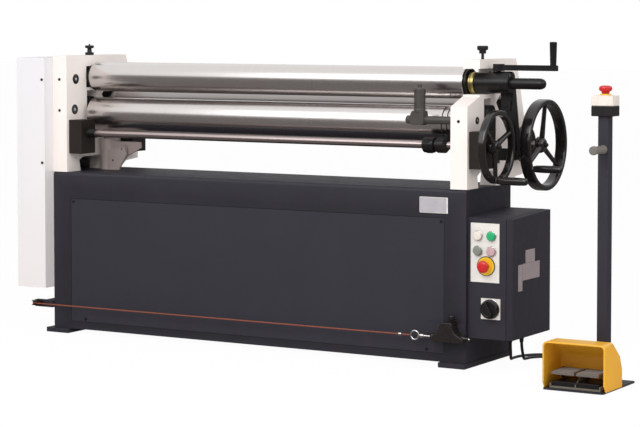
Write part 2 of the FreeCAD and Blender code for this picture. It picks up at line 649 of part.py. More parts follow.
def make_rear_drive():
    y = S.back_shaft_y
    z = S.back_shaft_z
    bore_r = S.back_shaft_rad + S.run_gap
    right = turned("rear_worm_box_right", "X", right_out, y, z, [
        (0, bore_r), (0, S.neck_rad), (S.neck_long, S.neck_rad), (S.neck_long, S.disc_rad),
        (S.neck_long + S.disc_long, S.disc_rad), (S.neck_long + S.disc_long, bore_r)])
    left_case = block("rear_case_left", left_in, y - S.worm_deep / 2, z - S.worm_low, S.worm_left_long,
                      S.worm_deep, S.back_worm_high)
    left_hole = rod("rear_case_hole", "X", left_in + 12, y, z, bore_r, S.worm_left_long)
    node("rear_worm_boxes", group("rear_worm_boxes", right, cut("rear_worm_box_left", left_case, left_hole)))
    start = left_in + 14
    end = S.wheel_b_x - S.hub_long / 2 - S.hub_seat
    node("rear_shaft", rod("rear_shaft", "X", start, y, z, S.back_shaft_rad, end - start))


# ---------------------------------------------------------------- release bearing at the right end
def make_release_bearing():
    lead_in = -S.cone_lead
    seat_rad = S.top_neck + S.cone_gap
    total = S.tail_right - house_left
    house = S.house_right - house_left
    body = turned("house_body", "X", house_left, S.top_y, S.top_z, [
        (0, 0), (0, S.house_rad - 1), (1, S.house_rad), (house - 6, S.house_rad), (house, S.house_rad - 5),
        (house, S.tail_rad), (total - 12, S.tail_rad), (total - 3, S.tail_rad - 6),
        (total, S.tail_rad - 13), (total, 0)])
    seat = turned("house_seat", "X", house_left, S.top_y, S.top_z, [
        (lead_in, 0), (lead_in, seat_rad),
        (lead_in + S.cone_long + S.cone_gap, seat_rad - S.cone_long - S.cone_gap),
        (lead_in + S.cone_long + S.cone_gap, 0)])
    hump = rod("house_hump", "X", S.hump_left, S.top_y, S.hump_z, S.hump_rad, S.hump_right - S.hump_left)
    stud_hole = rod("crank_stud_hole", "Z", S.crank_x, S.top_y, S.top_z, S.crank_stud + S.run_gap, 60)
    back = S.arm_front + S.arm_wide
    arm = prism("swing_arm", "XZ", [
        (S.arm_low_left, S.hinge_z + S.ear_rad + 6), (S.arm_low_right, S.hinge_z + S.ear_rad + 2),
        (S.arm_right + 2, S.top_z - S.house_rad), (S.arm_right, S.top_z + 6), (S.arm_left, S.top_z + 6),
        (S.arm_left, S.arm_step + 14), (S.arm_low_left, S.arm_step - 8)], S.arm_front, S.arm_wide)
    tongue_front = S.arm_front + S.ear_wide + S.soft_gap
    tongue_wide = S.arm_wide - 2 * (S.ear_wide + S.soft_gap)
    tongue = block("swing_tongue", S.hinge_x - S.ear_rad + 4, tongue_front, S.hinge_z,
                   2 * (S.ear_rad - 4), tongue_wide, S.ear_rad + 12)
    eye = rod("swing_eye", "Y", S.hinge_x, tongue_front, S.hinge_z, S.ear_rad - 4, tongue_wide)
    pin_hole = rod("swing_pin_hole", "Y", S.hinge_x, S.arm_front - 1, S.hinge_z,
                   S.hinge_pin + S.run_gap, S.arm_wide + 2)
    whole = join("swing_body", body, hump, arm, tongue, eye)
    node("swing_bearing", cut("swing_bearing", whole, seat, stud_hole, pin_hole))

    ears = []
    for side, front in (("front", S.arm_front), ("back", back - S.ear_wide)):
        ears.append(block("ear_" + side, right_out, front, S.hinge_z - S.ear_rad,
                          S.hinge_x - right_out, S.ear_wide, 2 * S.ear_rad))
        ears.append(rod("ear_end_" + side, "Y", S.hinge_x, front, S.hinge_z, S.ear_rad, S.ear_wide))
    foot = block("ear_foot", right_out, S.arm_front, S.hinge_z - S.ear_rad - 12, 16, S.arm_wide,
                 2 * S.ear_rad + 24)
    pin = rod("ear_pin", "Y", S.hinge_x, S.arm_front, S.hinge_z, S.hinge_pin, S.arm_wide)
    node("swing_bracket", join("swing_bracket", *ears, foot, pin))


def make_clamp_crank():
    hub = rod("crank_hub", "Z", S.crank_x, S.top_y, S.crank_low, S.crank_hub, S.crank_high)
    stud = rod("crank_stud", "Z", S.crank_x, S.top_y, S.crank_low - 30, S.crank_stud, 32)
    tip = S.crank_x + S.crank_long
    arm = block("crank_arm", S.crank_x, S.top_y - S.crank_wide / 2, S.crank_low + 2, S.crank_long,
                S.crank_wide, S.crank_high - 5)
    base = S.crank_low + S.crank_high - 4
    long = S.crank_grip_top - base
    grip = turned("crank_grip", "Z", tip - 14, S.top_y, base, [
        (0, 0), (0, S.crank_grip - 2), (long - 3, S.crank_grip), (long, S.crank_grip - 2), (long, 0)])
    node("clamp_crank", join("clamp_crank", hub, stud, arm, grip))


def make_release_lever():
    bar = rod("lever_bar", "X", S.lever_left, S.lever_y, S.lever_z, S.lever_rad,
              right_in - 2 - S.lever_left)
    pin = rod("lever_pin", "X", right_in - 3, S.lever_y, S.lever_z, S.lever_pin, S.lever_pin_long)
    knuckle = prism("lever_knuckle", "XZ", [
        (S.lever_x - 34, S.lever_z - 9), (S.lever_x - 24, S.lever_z - 18),
        (S.lever_x + 20, S.lever_z - 18), (S.lever_x + 24, S.lever_z - 8),
        (S.lever_x + 21, S.lever_low), (S.lever_x - 22, S.lever_low), (S.lever_x - 31, S.lever_z + 16)],
        S.lever_y - 19, 38)
    high = S.lever_top - S.lever_low
    grip = turned("lever_grip", "Z", S.lever_x, S.lever_y, S.lever_low - 4, [
        (0, 0), (0, S.lever_head - 1), (high, S.lever_head), (high + 4, S.lever_head - 3),
        (high + 4, S.lever_nub), (high + 4 + S.lever_nub_high, S.lever_nub - 1),
        (high + 4 + S.lever_nub_high, 0)])
    node("release_lever", join("release_lever", bar, pin, knuckle, grip))


def make_top_screws():
    top = S.frame_top + S.soft_gap
    deep = -S.stud_deep
    node("top_screw_right", turned("top_screw_right", "Z", S.knob_r_x, S.knob_r_y, top, [
        (deep, 0), (deep, S.stud_rad), (19, S.stud_rad), (19, 12), (31, 12), (31, S.knob_rad - 2),
        (33, S.knob_rad), (45, S.knob_rad), (46, S.knob_rad - 1), (46, 0)]))
    node("top_screw_left", turned("top_screw_left", "Z", S.knob_l_x, S.knob_l_y, top, [
        (deep, 0), (deep, S.stud_rad), (0, S.stud_rad), (0, S.knob_rad - 2), (10, S.knob_rad - 2),
        (10, 8), (26, 8), (26, S.knob_rad - 2), (36, S.knob_rad - 2), (36, 3), (42, 3), (42, 0)]))


# ---------------------------------------------------------------- gear cover and chain drive
def make_gear_cover():
    wall = S.cover_wall
    start = left_out - S.cover_long
    outer = block("cover_blank", start, S.cover_front, S.cover_low, S.cover_long,
                  S.cover_back - S.cover_front, S.cover_top - S.cover_low)
    inner = block("cover_inside", start + wall, S.cover_front + wall, S.cover_low + wall,
                  S.cover_long - wall - S.cab_wall, S.cover_back - S.cover_front - 2 * wall,
                  S.cover_top - S.cover_low - 2 * wall)
    mouth = block("cover_mouth", left_out - 2 * S.cab_wall, S.cab_front + 8, S.cover_low + 20,
                  3 * S.cab_wall, cab_back - S.cab_front - 24, S.cover_top - S.cover_low - 45)
    seam = block("cover_seam", left_out - 2, S.cover_front + 8, cab_top - 1, 4,
                 S.cab_front - S.cover_front - 9, 2)
    node("gear_cover", cut("gear_cover", outer, inner, mouth, seam))


def sprocket(name, y, z, bore):
    """A toothed wheel about X at the chain's place."""
    centre = Vector(float(S.sprocket_x), float(y), float(z))
    count = int(S.teeth)
    root = float(S.sprocket_rad - S.tooth_high)
    tip = float(S.sprocket_rad)
    points = []
    for tooth in range(count):
        for share, radius in ((0.0, root), (0.3, root), (0.5, tip), (0.8, tip)):
            angle = 2 * math.pi * (tooth + share) / count
            points.append(centre + Vector(0, radius * math.cos(angle), radius * math.sin(angle)))
    wire = Part.makePolygon(points + points[:1])
    wheel_solid = Part.Face(wire).extrude(Vector(float(S.sprocket_wide), 0, 0))
    if bore:
        hole = Part.makeCylinder(float(bore), float(S.sprocket_wide) + 2, centre - Vector(1, 0, 0),
                                 Vector(1, 0, 0))
        wheel_solid = wheel_solid.cut(hole)
    return ready(name, wheel_solid)


def make_chain_drive():
    roll_hub = rod("roll_sprocket_hub", "X", S.sprocket_x - S.sprocket_wide, S.low_y, S.low_z,
                   S.low_neck + 10, S.sprocket_wide)
    hole = rod("roll_sprocket_bore", "X", S.sprocket_x - 2 * S.sprocket_wide, S.low_y, S.low_z,
               S.low_neck, 4 * S.sprocket_wide)
    wheel_top = sprocket("roll_sprocket_wheel", S.low_y, S.low_z, S.low_neck)
    node("roll_sprocket", cut("roll_sprocket", join("roll_sprocket_body", wheel_top, roll_hub), hole))

    shaft_end = cab_left + S.cab_wall + 50
    shaft = rod("drive_neck", "X", S.sprocket_x, S.low_y, S.drive_z, S.drive_neck, shaft_end - S.sprocket_x)
    node("drive_sprocket", join("drive_sprocket", sprocket("drive_wheel", S.low_y, S.drive_z, 0), shaft))

    middle = S.sprocket_x + S.sprocket_wide / 2 - S.chain_wide / 2
    inner = S.sprocket_rad + S.soft_gap
    outer = inner + S.chain_thick
    bands = []
    for label, radius in (("outer", outer), ("inner", inner)):
        wide = S.chain_wide if label == "outer" else S.chain_wide + 2
        start = middle if label == "outer" else middle - 1
        side = block("chain_side_" + label, start, S.low_y - radius, S.drive_z, wide, 2 * radius,
                     S.low_z - S.drive_z)
        low = rod("chain_low_" + label, "X", start, S.low_y, S.drive_z, radius, wide)
        high = rod("chain_high_" + label, "X", start, S.low_y, S.low_z, radius, wide)
        bands.append(join("chain_" + label, side, low, high))
    node("drive_chain", cut("drive_chain", *bands))

    start = cab_left + S.cab_wall
    case = block("reducer_case", start, S.low_y - S.reducer_half, S.drive_z - S.reducer_half,
                 S.reducer_long, 2 * S.reducer_half, 2 * S.reducer_half)
    motor = rod("motor_case", "X", start + S.reducer_long, S.low_y, S.drive_z, S.motor_rad, S.motor_long)
    bore = rod("reducer_bore", "X", start - 1, S.low_y, S.drive_z, S.drive_neck + S.run_gap, 60)
    node("gear_motor", cut("gear_motor", join("gear_motor_body", case, motor), bore))


# ---------------------------------------------------------------- electrical box and controls
box_front = -S.box_deep / 2
box_right = cab_right + S.box_long


def box_outline(inset):
    front = box_front + inset
    back = S.box_deep / 2 - inset
    return [(front, S.box_low + inset), (back, S.box_low + inset),
            (back, S.box_low + S.box_back_high - inset), (front, S.box_low + S.box_front_high - inset)]


def button_places():
    """The lamp and the three push buttons on the control plate: name, x, z."""
    right = S.button_left + S.button_pitch_x
    high = S.button_low + S.button_pitch_z
    return (("lamp", S.button_left, high), ("green", right, high), ("grey", S.button_left, S.button_low),
            ("red", right, S.button_low))


def make_electrical_box():
    outer = prism("box_blank", "YZ", box_outline(0), cab_right, S.box_long)
    inner = prism("box_inside", "YZ", box_outline(S.box_wall), cab_right + S.box_wall, S.box_long)
    holes = []
    for name, x, z in button_places():
        holes.append(rod("box_hole_" + name, "Y", x, box_front - 1, z, S.button_stem + S.run_gap,
                         S.box_wall + 2))
    holes.append(rod("box_hole_stop", "Y", S.stop_x, box_front - 1, S.stop_z, S.stop_neck + S.run_gap,
                     S.box_wall + 2))
    middle = S.switch_side / 2
    holes.append(rod("box_hole_switch", "Y", S.switch_x + middle, box_front - 1, S.switch_low + middle,
                     S.switch_stem + S.run_gap, S.box_wall + 2))
    shell = cut("box_shell", outer, inner, *holes)
    glands = []
    for label, x, y in (("a", S.gland_a_x, S.gland_a_y), ("b", S.gland_b_x, S.gland_b_y)):
        glands.append(turned("gland_" + label, "Z", x, y, S.box_low - S.gland_high, [
            (0, 0), (0, S.gland_rad - 3), (6, S.gland_rad - 2), (6, S.gland_rad),
            (S.gland_high, S.gland_rad), (S.gland_high, 0)]))
    node("electrical_box", group("electrical_box", shell, *glands))

    start = box_right + S.door_gap
    slab = prism("door_blank", "YZ", box_outline(0), start, S.door_thick)
    hollow = prism("door_inside", "YZ", box_outline(S.box_wall * 2), start - 1, S.door_thick - S.box_wall)
    lip = rounded("door_soft", slab, 2, lambda edge: edge.CenterOfMass.x > box_right + S.door_thick - 1
                  and edge.BoundBox.XLength < 1)
    outside = start + S.door_thick
    plates = [block("door_plate_a", outside, S.door_a_y, S.door_a_z, 1, S.door_a_wide, S.door_a_high),
              block("door_plate_b", outside, S.door_b_y, S.door_b_z, 1, S.door_b_wide, S.door_b_high)]
    node("box_door", group("box_door", cut("box_door_only", lip, hollow), *plates))


def make_controls():
    face = box_front - S.plate_thick
    plate = block("control_face", S.plate_x, face, S.plate_low, S.plate_wide, S.plate_thick, S.plate_high)
    middle = S.switch_side / 2
    switch_x = S.switch_x + middle
    switch_z = S.switch_low + middle
    switch_plate = block("switch_face", S.switch_x, face - 4, S.switch_low, S.switch_side,
                         S.plate_thick + 4, S.switch_side)
    switch_hole = rod("switch_hole", "Y", switch_x, face - 5, switch_z, S.switch_stem + S.run_gap, 10)
    plate_holes = [rod("plate_hole_" + name, "Y", x, face - 1, z, S.button_stem + S.run_gap,
                       S.plate_thick + 2) for name, x, z in button_places()]
    plate_holes.append(rod("plate_hole_stop", "Y", S.stop_x, face - 1, S.stop_z,
                           S.stop_neck + S.run_gap, S.plate_thick + 2))
    sticker = block("cabinet_plate", S.label_x, S.cab_front - 1, S.label_z, S.label_wide, 1, S.label_high)
    node("control_plates", group("control_plates", cut("control_plate", plate, *plate_holes),
                                 cut("switch_plate", switch_plate, switch_hole), sticker))

    rings = []
    for name, x, z in button_places():
        rings.append(turned("bezel_" + name, "Y", x, face, z, tube_outline(
            -6, 0, S.button_rad + S.soft_gap, S.bezel_rad)))
    for name, x, z in button_places():
        out = -S.button_out
        cap = turned("button_" + name, "Y", x, face, z, [
            (out, 0), (out, S.button_rad - 2), (out + 2, S.button_rad), (-S.button_travel - 1, S.button_rad),
            (-S.button_travel - 1, S.button_stem), (S.plate_thick + S.box_wall + 6, S.button_stem),
            (S.plate_thick + S.box_wall + 6, 0)])
        if name == "lamp":
            rings.append(cap)
        else:
            node("button_" + name, cap)
    node("button_bezels", group("button_bezels", *rings))

    node("stop_ring", turned("stop_ring", "Y", S.stop_x, face, S.stop_z, tube_outline(
        -3, 0, S.stop_neck + S.run_gap, S.stop_ring)))
    out = -S.stop_out
    node("stop_button", turned("stop_button", "Y", S.stop_x, face, S.stop_z, mushroom(
        out, S.stop_head, S.stop_neck, S.plate_thick + S.box_wall + 12)))
    out = -S.switch_out
    node("main_switch", turned("main_switch", "Y", switch_x, face - 4, switch_z, [
        (out, 0), (out, S.switch_knob - 5), (out + 3, S.switch_knob - 3), (out + 12, S.switch_knob - 2),
        (-6, S.switch_knob), (-1, S.switch_knob), (-1, S.switch_stem),
        (S.plate_thick + S.box_wall + 12, S.switch_stem), (S.plate_thick + S.box_wall + 12, 0)]))


def mushroom(out, head, neck, end):
    """A mushroom head with its collar and stem, from its outer face at `out` to `end`."""
    return [(out, 0), (out, head - 7), (out + 3, head - 2), (out + 7, head), (out + 11, head),
            (out + 14, head - 7), (out + 14, neck), (end, neck), (end, 0)]


# ---------------------------------------------------------------- small fixed pieces on the machine
def make_screws():
    heads = []
    on_cover = left_out - S.cover_screw_in
    panel_right = panel_left + panel_long
    panel_top = S.panel_low + S.panel_high
    places = [(left_out + S.screw_in, S.screw_high, S.cab_front),
              (left_out + S.screw_in, S.screw_low, S.cab_front),
              (right_in + S.screw_in, S.sill_screw_z, S.cab_front), (on_cover, S.screw_high, S.cover_front),
              (on_cover, S.cover_screw_low, S.cover_front),
              (panel_left + S.panel_screw_in, panel_top - S.panel_screw_in, S.cab_front),
              (panel_right - S.panel_screw_in, panel_top - S.panel_screw_in, S.cab_front),
              (panel_left + S.panel_screw_far, S.panel_low + S.panel_screw_in, S.cab_front),
              (panel_right - S.panel_screw_far, S.panel_low + S.panel_screw_in, S.cab_front)]
    for number, (x, z, face) in enumerate(places):
        heads.append(rod("front_screw_%d" % number, "Y", x, face - S.screw_out, z, S.screw_rad, S.screw_out))
    plugs = [(left_in, S.plug_a_y, S.plug_a_z, S.plug_rad), (left_in, S.plug_b_y, S.plug_b_z, S.plug_rad),
             (right_out, S.plug_c_y, S.plug_c_z, S.plug_small)]
    for number, (start, y, z, radius) in enumerate(plugs):
        heads.append(rod("frame_plug_%d" % number, "X", start, y, z, radius, S.plug_out))
    node("screws_and_plugs", group("screws_and_plugs", *heads))


def make_rear_support():
    """A round post on the cabinet with a cast web and a drilled ear, behind the rolls' left end."""
    x = left_in + S.boss_in
    top = S.boss_high + S.boss_cap
    boss = turned("support_boss", "Z", x, S.boss_y, cab_top, [
        (0, 0), (0, S.boss_rad - 1), (S.boss_high / 2, S.boss_rad), (S.boss_high, S.boss_rad),
        (S.boss_high, S.boss_rad / 2), (top, S.boss_rad / 2), (top, 0)])

    def shape(*shares):
        return [(x + along_x * S.web_long, cab_top + up * S.web_high) for along_x, up in shares]

    web = prism("support_web", "XZ", shape((0.18, 0.11), (0.33, 0.11), (0.58, 0.47), (1, 0.8), (0.98, 1),
                                           (0.14, 1)), S.boss_y - S.web_thick / 2, S.web_thick)
    holes = [(u, v, S.screw_rad - 1) for u, v in shape((0.52, 0.75), (0.26, 0.32))]
    ear = prism("support_ear", "XZ", shape((0.06, 0), (0.43, 0), (0.65, 0.54), (0.62, 0.86), (0.06, 0.69)),
                S.boss_y - S.boss_rad + S.web_thick / 2, S.web_thick - 2, holes)
    node("rear_support", group("rear_support", cut("support_web_only", web, boss), cut(
        "support_ear_only", ear, boss), boss))


# ---------------------------------------------------------------- safety rope
def make_safety_rope():
    radius = float(S.rope_rad)
    z = float(S.rope_z)
    turn = float(S.wheel_rad)
    front = float(S.rope_y)
    centre_x = float(S.wheel_x)
    side_x = centre_x - turn
    start = Vector(float(S.eye_x - S.ring_in - S.ring_rad - S.ring_wire), front, z)
    corner_in = Vector(centre_x, front, z)
    lean = turn * math.sqrt(0.5)
    corner_out = Vector(side_x, front + turn, z)
    bend = Part.Arc(corner_in, Vector(centre_x - lean, front + turn - lean, z), corner_out)
    path = Part.Wire([Part.LineSegment(start, corner_in).toShape(), bend.toShape(),
                      Part.LineSegment(corner_out,
                                       Vector(side_x, float(S.rope_back), z)).toShape()])
    section = Part.Wire([Part.Circle(start, Vector(-1, 0, 0), radius).toShape()])
    rope = path.makePipeShell([section], True, False)
    node("safety_rope", ready("safety_rope", rope))
    print("rope volume ratio", rope.Volume / (math.pi * radius ** 2 * path.Length))

    wheel_y = S.rope_y + S.wheel_rad
    groove = S.wheel_rad - S.rope_rad - S.soft_gap
    pin = S.rope_pin
    node("rope_pulley", turned("rope_pulley", "Z", S.wheel_x, wheel_y, S.rope_z, [
        (-8, pin + S.run_gap), (-8, S.wheel_rad + 5), (-6, S.wheel_rad + 5), (-3, groove), (3, groove),
        (6, S.wheel_rad + 5), (8, S.wheel_rad + 5), (8, pin + S.run_gap)]))
    high = S.bracket_high
    arm_y = wheel_y - 10
    low = S.rope_z - high / 2
    arm_x = S.wheel_x + S.wheel_rad + 7
    pieces = [block("rope_arm", arm_x, arm_y, low, cab_left - arm_x, S.bracket_deep, high)]
    for label, bottom in (("low", low), ("high", low + high - S.bracket_wall)):
        pieces.append(block("rope_cheek_" + label, S.wheel_x - 10, arm_y, bottom, S.wheel_rad + 17, 20,
                            S.bracket_wall))
    pieces.append(rod("rope_pin", "Z", S.wheel_x, wheel_y, low, pin, high))
    end_x = S.wheel_x - S.wheel_rad - 10
    end_arm = block("rope_end_arm", end_x, S.rope_back, low, cab_left - end_x, S.bracket_wall + 2, high)
    back_plate = block("rope_switch_plate", S.backing_x, S.cab_front - S.backing_thick,
                       S.rope_z + S.backing_up, cab_right - S.backing_x, S.backing_thick, S.backing_high)
    node("rope_brackets", group("rope_brackets", join("rope_front_arm", *pieces), end_arm, back_plate))

    clamp = turned("rope_clamp", "X", S.eye_x - S.clamp_in, S.rope_y, S.rope_z,
                   tube_outline(0, S.clamp_long, S.rope_rad, S.clamp_rad))
    ring = doc.addObject("Part::Torus", "rope_ring")
    bind(ring, "Radius1", S.ring_rad)
    bind(ring, "Radius2", S.ring_wire)
    place(ring, S.eye_x - S.ring_in, S.rope_y, S.rope_z, AXIS_TURN["Y"])
    eye = turned("rope_eye", "X", S.eye_x - 1.6, S.rope_y, S.rope_z, [
        (0, 0), (0, 7), (16, 7), (20, 4), (S.head_left - S.eye_x + 1.6, 4), (S.head_left - S.eye_x + 1.6, 0)])
    node("rope_fittings", group("rope_fittings", clamp, ring, cut("rope_eye_only", eye, ring)))

    head = turned("rope_switch_head", "X", S.head_left, S.rope_y, S.rope_z, [
        (0, 0), (0, S.head_rad - 3), (6, S.head_rad), (S.dome_left - S.head_left + 4, S.head_rad),
        (S.dome_left - S.head_left + 4, 0)])
    middle = S.dome_left + S.dome_long / 2
    front = S.rope_y - S.dome_out
    deep = S.cab_front - S.backing_thick - front
    crown = S.rope_z + S.dome_up
    dome = rod("rope_switch_dome", "Y", middle, front, crown, S.dome_rad, deep)
    base = block("rope_switch_base", S.dome_left, front, S.rope_z - S.head_rad + 1, S.dome_long, deep,
                 S.dome_up + S.head_rad - 1)
    far = S.dome_left + S.dome_long
    boot = turned("rope_switch_boot", "X", far - 4, S.rope_y, S.rope_z, [
        (0, 0), (0, S.head_rad), (S.boot_long / 2, S.head_rad - 2), (S.boot_long, S.head_rad / 2),
        (S.boot_long, 0)])
    reset_x = middle + S.reset_in
    hole = rod("reset_hole", "Z", reset_x, S.rope_y, crown + 6, S.reset_stem + S.run_gap, S.dome_rad)
    node("rope_switch", cut("rope_switch", join("rope_switch_body", head, dome, base, boot), hole))
    node("rope_reset", turned("rope_reset", "Z", reset_x, S.rope_y, crown + S.dome_rad + 4, [
        (-18, 0), (-18, S.reset_stem), (0, S.reset_stem), (0, S.reset_rad - 2), (4, S.reset_rad),
        (16, S.reset_rad), (18, S.reset_rad - 2), (18, 0)]))


# ---------------------------------------------------------------- foot-switch column
hood_left = S.station_left - (S.hood_wide - S.station_wide) / 2 + 4
hood_front = S.station_front - 3
hood_back = hood_front + S.hood_deep
hood_top = S.station_thick + S.hood_high


def hood_outline(inset):
    """The guard's side view, or with an inset its hollow, which reaches past the open front and foot."""
    past = 1 if inset else 0
    front = hood_front - past
    foot = S.station_thick - past
    top = hood_top - inset
    back = hood_back - inset
    return [(front, foot), (front, top), (hood_back - 62 - inset / 2, top),
            (back - 8, hood_top - 44 - inset / 2), (back, hood_top - 62), (back, foot)]


def make_station():
    thick = S.station_thick
    node("station_plate", rounded("station_plate", block(
        "station_blank", S.station_left, S.station_front, 0, S.station_wide, S.station_deep, thick), 8,
        lambda edge: along(edge, "z")))
    half = S.post_side / 2
    outer = block("post_outer", S.post_x - half, S.post_y - half, thick, S.post_side, S.post_side,
                  S.post_top - thick)
    inner = block("post_inner", S.post_x - half + S.post_wall, S.post_y - half + S.post_wall, thick + 4,
                  S.post_side - 2 * S.post_wall, S.post_side - 2 * S.post_wall, S.post_top)
    peg = turned("post_peg", "Y", S.post_x, S.post_y - half - S.peg_long, S.peg_z, [
        (0, 0), (0, S.peg_rad - 2), (2, S.peg_rad), (12, S.peg_rad), (12, S.peg_rad - 2),
        (S.peg_long, S.peg_rad - 2), (S.peg_long, 0)])
    gland = turned("post_gland", "Y", S.post_x, S.post_y + half, S.post_gland_z, [
        (0, 0), (0, S.gland_rad), (6, S.gland_rad), (12, S.gland_rad - 4), (12, 0)])
    node("station_post", group("station_post", cut("post_tube", outer, inner), peg, gland))

    box_x = S.post_x - S.stop_box_wide / 2
    box_y = S.post_y - S.stop_box_deep / 2 - 1
    split = S.post_top + S.stop_box_base
    base = block("stop_box_base", box_x, box_y, S.post_top, S.stop_box_wide, S.stop_box_deep, S.stop_box_base)
    cap = block("stop_box_cap", box_x, box_y, split, S.stop_box_wide, S.stop_box_deep, S.stop_box_top)
    hole = rod("stop_box_hole", "Z", S.post_x, S.post_y, split - 6, S.stop_neck + S.run_gap, 60)
    node("station_stop_box", group("station_stop_box", cut("stop_box_base_only", base, hole),
                                   cut("stop_box_cap_only", cap, hole)))
    top = split + S.stop_box_top
    node("station_stop_button", turned("station_stop_button", "Z", S.post_x, S.post_y, top, [
        (-26, 0), (-26, S.stop_neck), (7, S.stop_neck), (7, 13), (12, 13), (12, 15), (15, 20),
        (24, 21), (30, 18), (31, 10), (31, 0)]))

    blank = prism("hood_blank", "YZ", hood_outline(0), hood_left, S.hood_wide)
    soft = rounded("hood_soft", blank, 9, lambda edge: edge.BoundBox.XLength < 0.1
                   and edge.CenterOfMass.y > hood_front + 1 and edge.CenterOfMass.z > hood_top - 63)
    inside = prism("hood_inside", "YZ", hood_outline(S.hood_wall), hood_left + S.hood_wall,
                   S.hood_wide - 2 * S.hood_wall)
    node("pedal_hood", cut("pedal_hood", soft, inside))


def make_pedals():
    left = hood_left + 20
    right = hood_left + S.hood_wide - 20
    front = S.station_front + 8
    back = hood_back - S.hood_wall - 10
    deck = S.station_thick + 22
    hinge_y = back - 14
    hinge_z = S.pedal_high - 6
    middle = left + (right - left) / 2
    base = block("pedal_base", left, front, S.station_thick, right - left, back - front,
                 deck - S.station_thick)
    pieces = [base, rod("pedal_pin", "X", left, hinge_y, hinge_z, 4, right - left)]
    for label, start in (("left", left), ("middle", middle - 3), ("right", right - 6)):
        pieces.append(block("pedal_ear_" + label, start, hinge_y - 10, deck - 1, 6, 20,
                            hinge_z + 9 - deck))
    gland = turned("pedal_gland", "Y", S.pedal_gland_x, hood_back, S.pedal_gland_z, [
        (0, 0), (0, S.gland_rad), (6, S.gland_rad), (12, S.gland_rad - 4), (12, 0)])
    node("pedal_base", group("pedal_base", join("pedal_base_body", *pieces), gland))
    half = (right - left) / 2 - 10
    for label, start in (("left", left + 6.5), ("right", middle + 3.5)):
        plate = block("pedal_plate_" + label, start, hinge_y - S.pedal_long, hinge_z + 1, half,
                      S.pedal_long, S.pedal_thick)
        skirt = block("pedal_skirt_" + label, start, hinge_y - S.pedal_long, hinge_z - 2, half, 5, 4)
        barrel = rod("pedal_barrel_" + label, "X", start, hinge_y, hinge_z, 8, half)
        bore = rod("pedal_bore_" + label, "X", start - 1, hinge_y, hinge_z, 4 + S.run_gap, half + 2)
        node("pedal_" + label, cut("pedal_" + label, join("pedal_body_" + label, plate, skirt, barrel), bore))


# ---------------------------------------------------------------- leads that lie free
# their points count from the outer face of the right frame along X, and from the origin in Y and Z
STOP_LEAD = [(75, 20, 89), (75, 20, 62), (71, 32, 33), (60, 55, 10), (46, 92, 5.2), (44, 138, 5.2),
             (58, 182, 5.2), (86, 216, 5.2), (128, 230, 5.2), (176, 214, 5.2), (230, 162, 5.2),
             (286, 100, 5.2), (344, 34, 5.2), (396, -36, 6), (442, -92, 14), (484, -136, 20),
             (516, -160, 21), (527, -186, 20.5), (527, -205.5, 20)]
PEDAL_LEAD = [(105, 45, 89), (105, 45, 62), (104, 57, 33), (97, 80, 10), (89, 112, 5.2),
              (94, 150, 5.2), (114, 180, 5.2), (148, 190, 5.2), (190, 166, 5.2), (236, 118, 5.2),
              (286, 54, 5.2), (332, -12, 5.2), (370, -66, 7), (402, -112, 14), (430, -160, 17.5),
              (441, -200, 17), (441, -246, 16)]


def lead(name, points, radius):
    """A round lead along straight runs joined by arcs as large as the runs allow."""
    corners = [Vector(float(right_out) + x, y, z) for x, y, z in points]
    edges = []
    last = corners[0]
    radii = []
    for before, here, after in zip(corners, corners[1:], corners[2:]):
        back = (before - here).normalize()
        ahead = (after - here).normalize()
        turn = math.pi - back.getAngle(ahead)
        reach = 0.45 * min(before.distanceToPoint(here), here.distanceToPoint(after))
        bend = reach / math.tan(turn / 2)
        radii.append(round(bend))
        bisector = (back + ahead).normalize()
        centre = here + bisector * (bend / math.cos(turn / 2))
        start = here + back * reach
        end = here + ahead * reach
        edges.append(Part.LineSegment(last, start).toShape())
        edges.append(Part.Arc(start, centre - bisector * bend, end).toShape())
        last = end
    edges.append(Part.LineSegment(last, corners[-1]).toShape())
    path = Part.Wire(edges)
    first = (corners[1] - corners[0]).normalize()
    section = Part.Wire([Part.Circle(corners[0], first, float(radius)).toShape()])
    tube = path.makePipeShell([section], True, False)
    print(name, "length", round(path.Length), "radii", radii,
          "volume ratio", round(tube.Volume / (math.pi * float(radius) ** 2 * path.Length), 4))
    node(name, ready(name, tube))


def make_leads():
    lead("stop_lead", STOP_LEAD, S.lead_rad)
    lead("pedal_lead", PEDAL_LEAD, S.lead_rad)


make_cabinet()
make_feet()
make_frames()
make_rolls()
make_pivot_bearing()
make_slide_blocks()
make_rear_blocks()
make_front_drive()
handled_wheel("handwheel_front", S.wheel_a_x, S.front_y, S.front_z, S.wheel_a_rad, S.wheel_a_deep,
              (25, 145, -95), -104, S.grip_a_rad, S.grip_a_long)
make_rear_drive()
handled_wheel("handwheel_rear", S.wheel_b_x, S.back_shaft_y, S.back_shaft_z, S.wheel_b_rad,
              S.wheel_b_deep, (86, -34, -154), -150, S.grip_b_rad, S.grip_b_long)
make_release_bearing()
make_clamp_crank()
make_release_lever()
make_top_screws()
make_gear_cover()
make_chain_drive()
make_electrical_box()
make_controls()
make_screws()
make_rear_support()
make_safety_rope()
make_station()
make_pedals()
make_leads()
doc.recompute()

for thing in doc.Objects:
    if "Invalid" in thing.State or "Error" in thing.State:
        raise RuntimeError("%s failed: %s" % (thing.Label, thing.State))
os.makedirs("parts", exist_ok=True)
for name, piece in NODES.items():
    shape = piece.Shape
    if shape.isNull() or not shape.isValid():
        raise RuntimeError("%s has no valid shape" % name)
    shape.exportStep("parts/%s.step" % name)
print(len(NODES), "nodes")
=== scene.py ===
"""The slip roll machine's looks: camera, finishes, the pieces that dress the frame, a studio."""

import json
import math

import bmesh
import bpy
from mathutils import Matrix, Vector


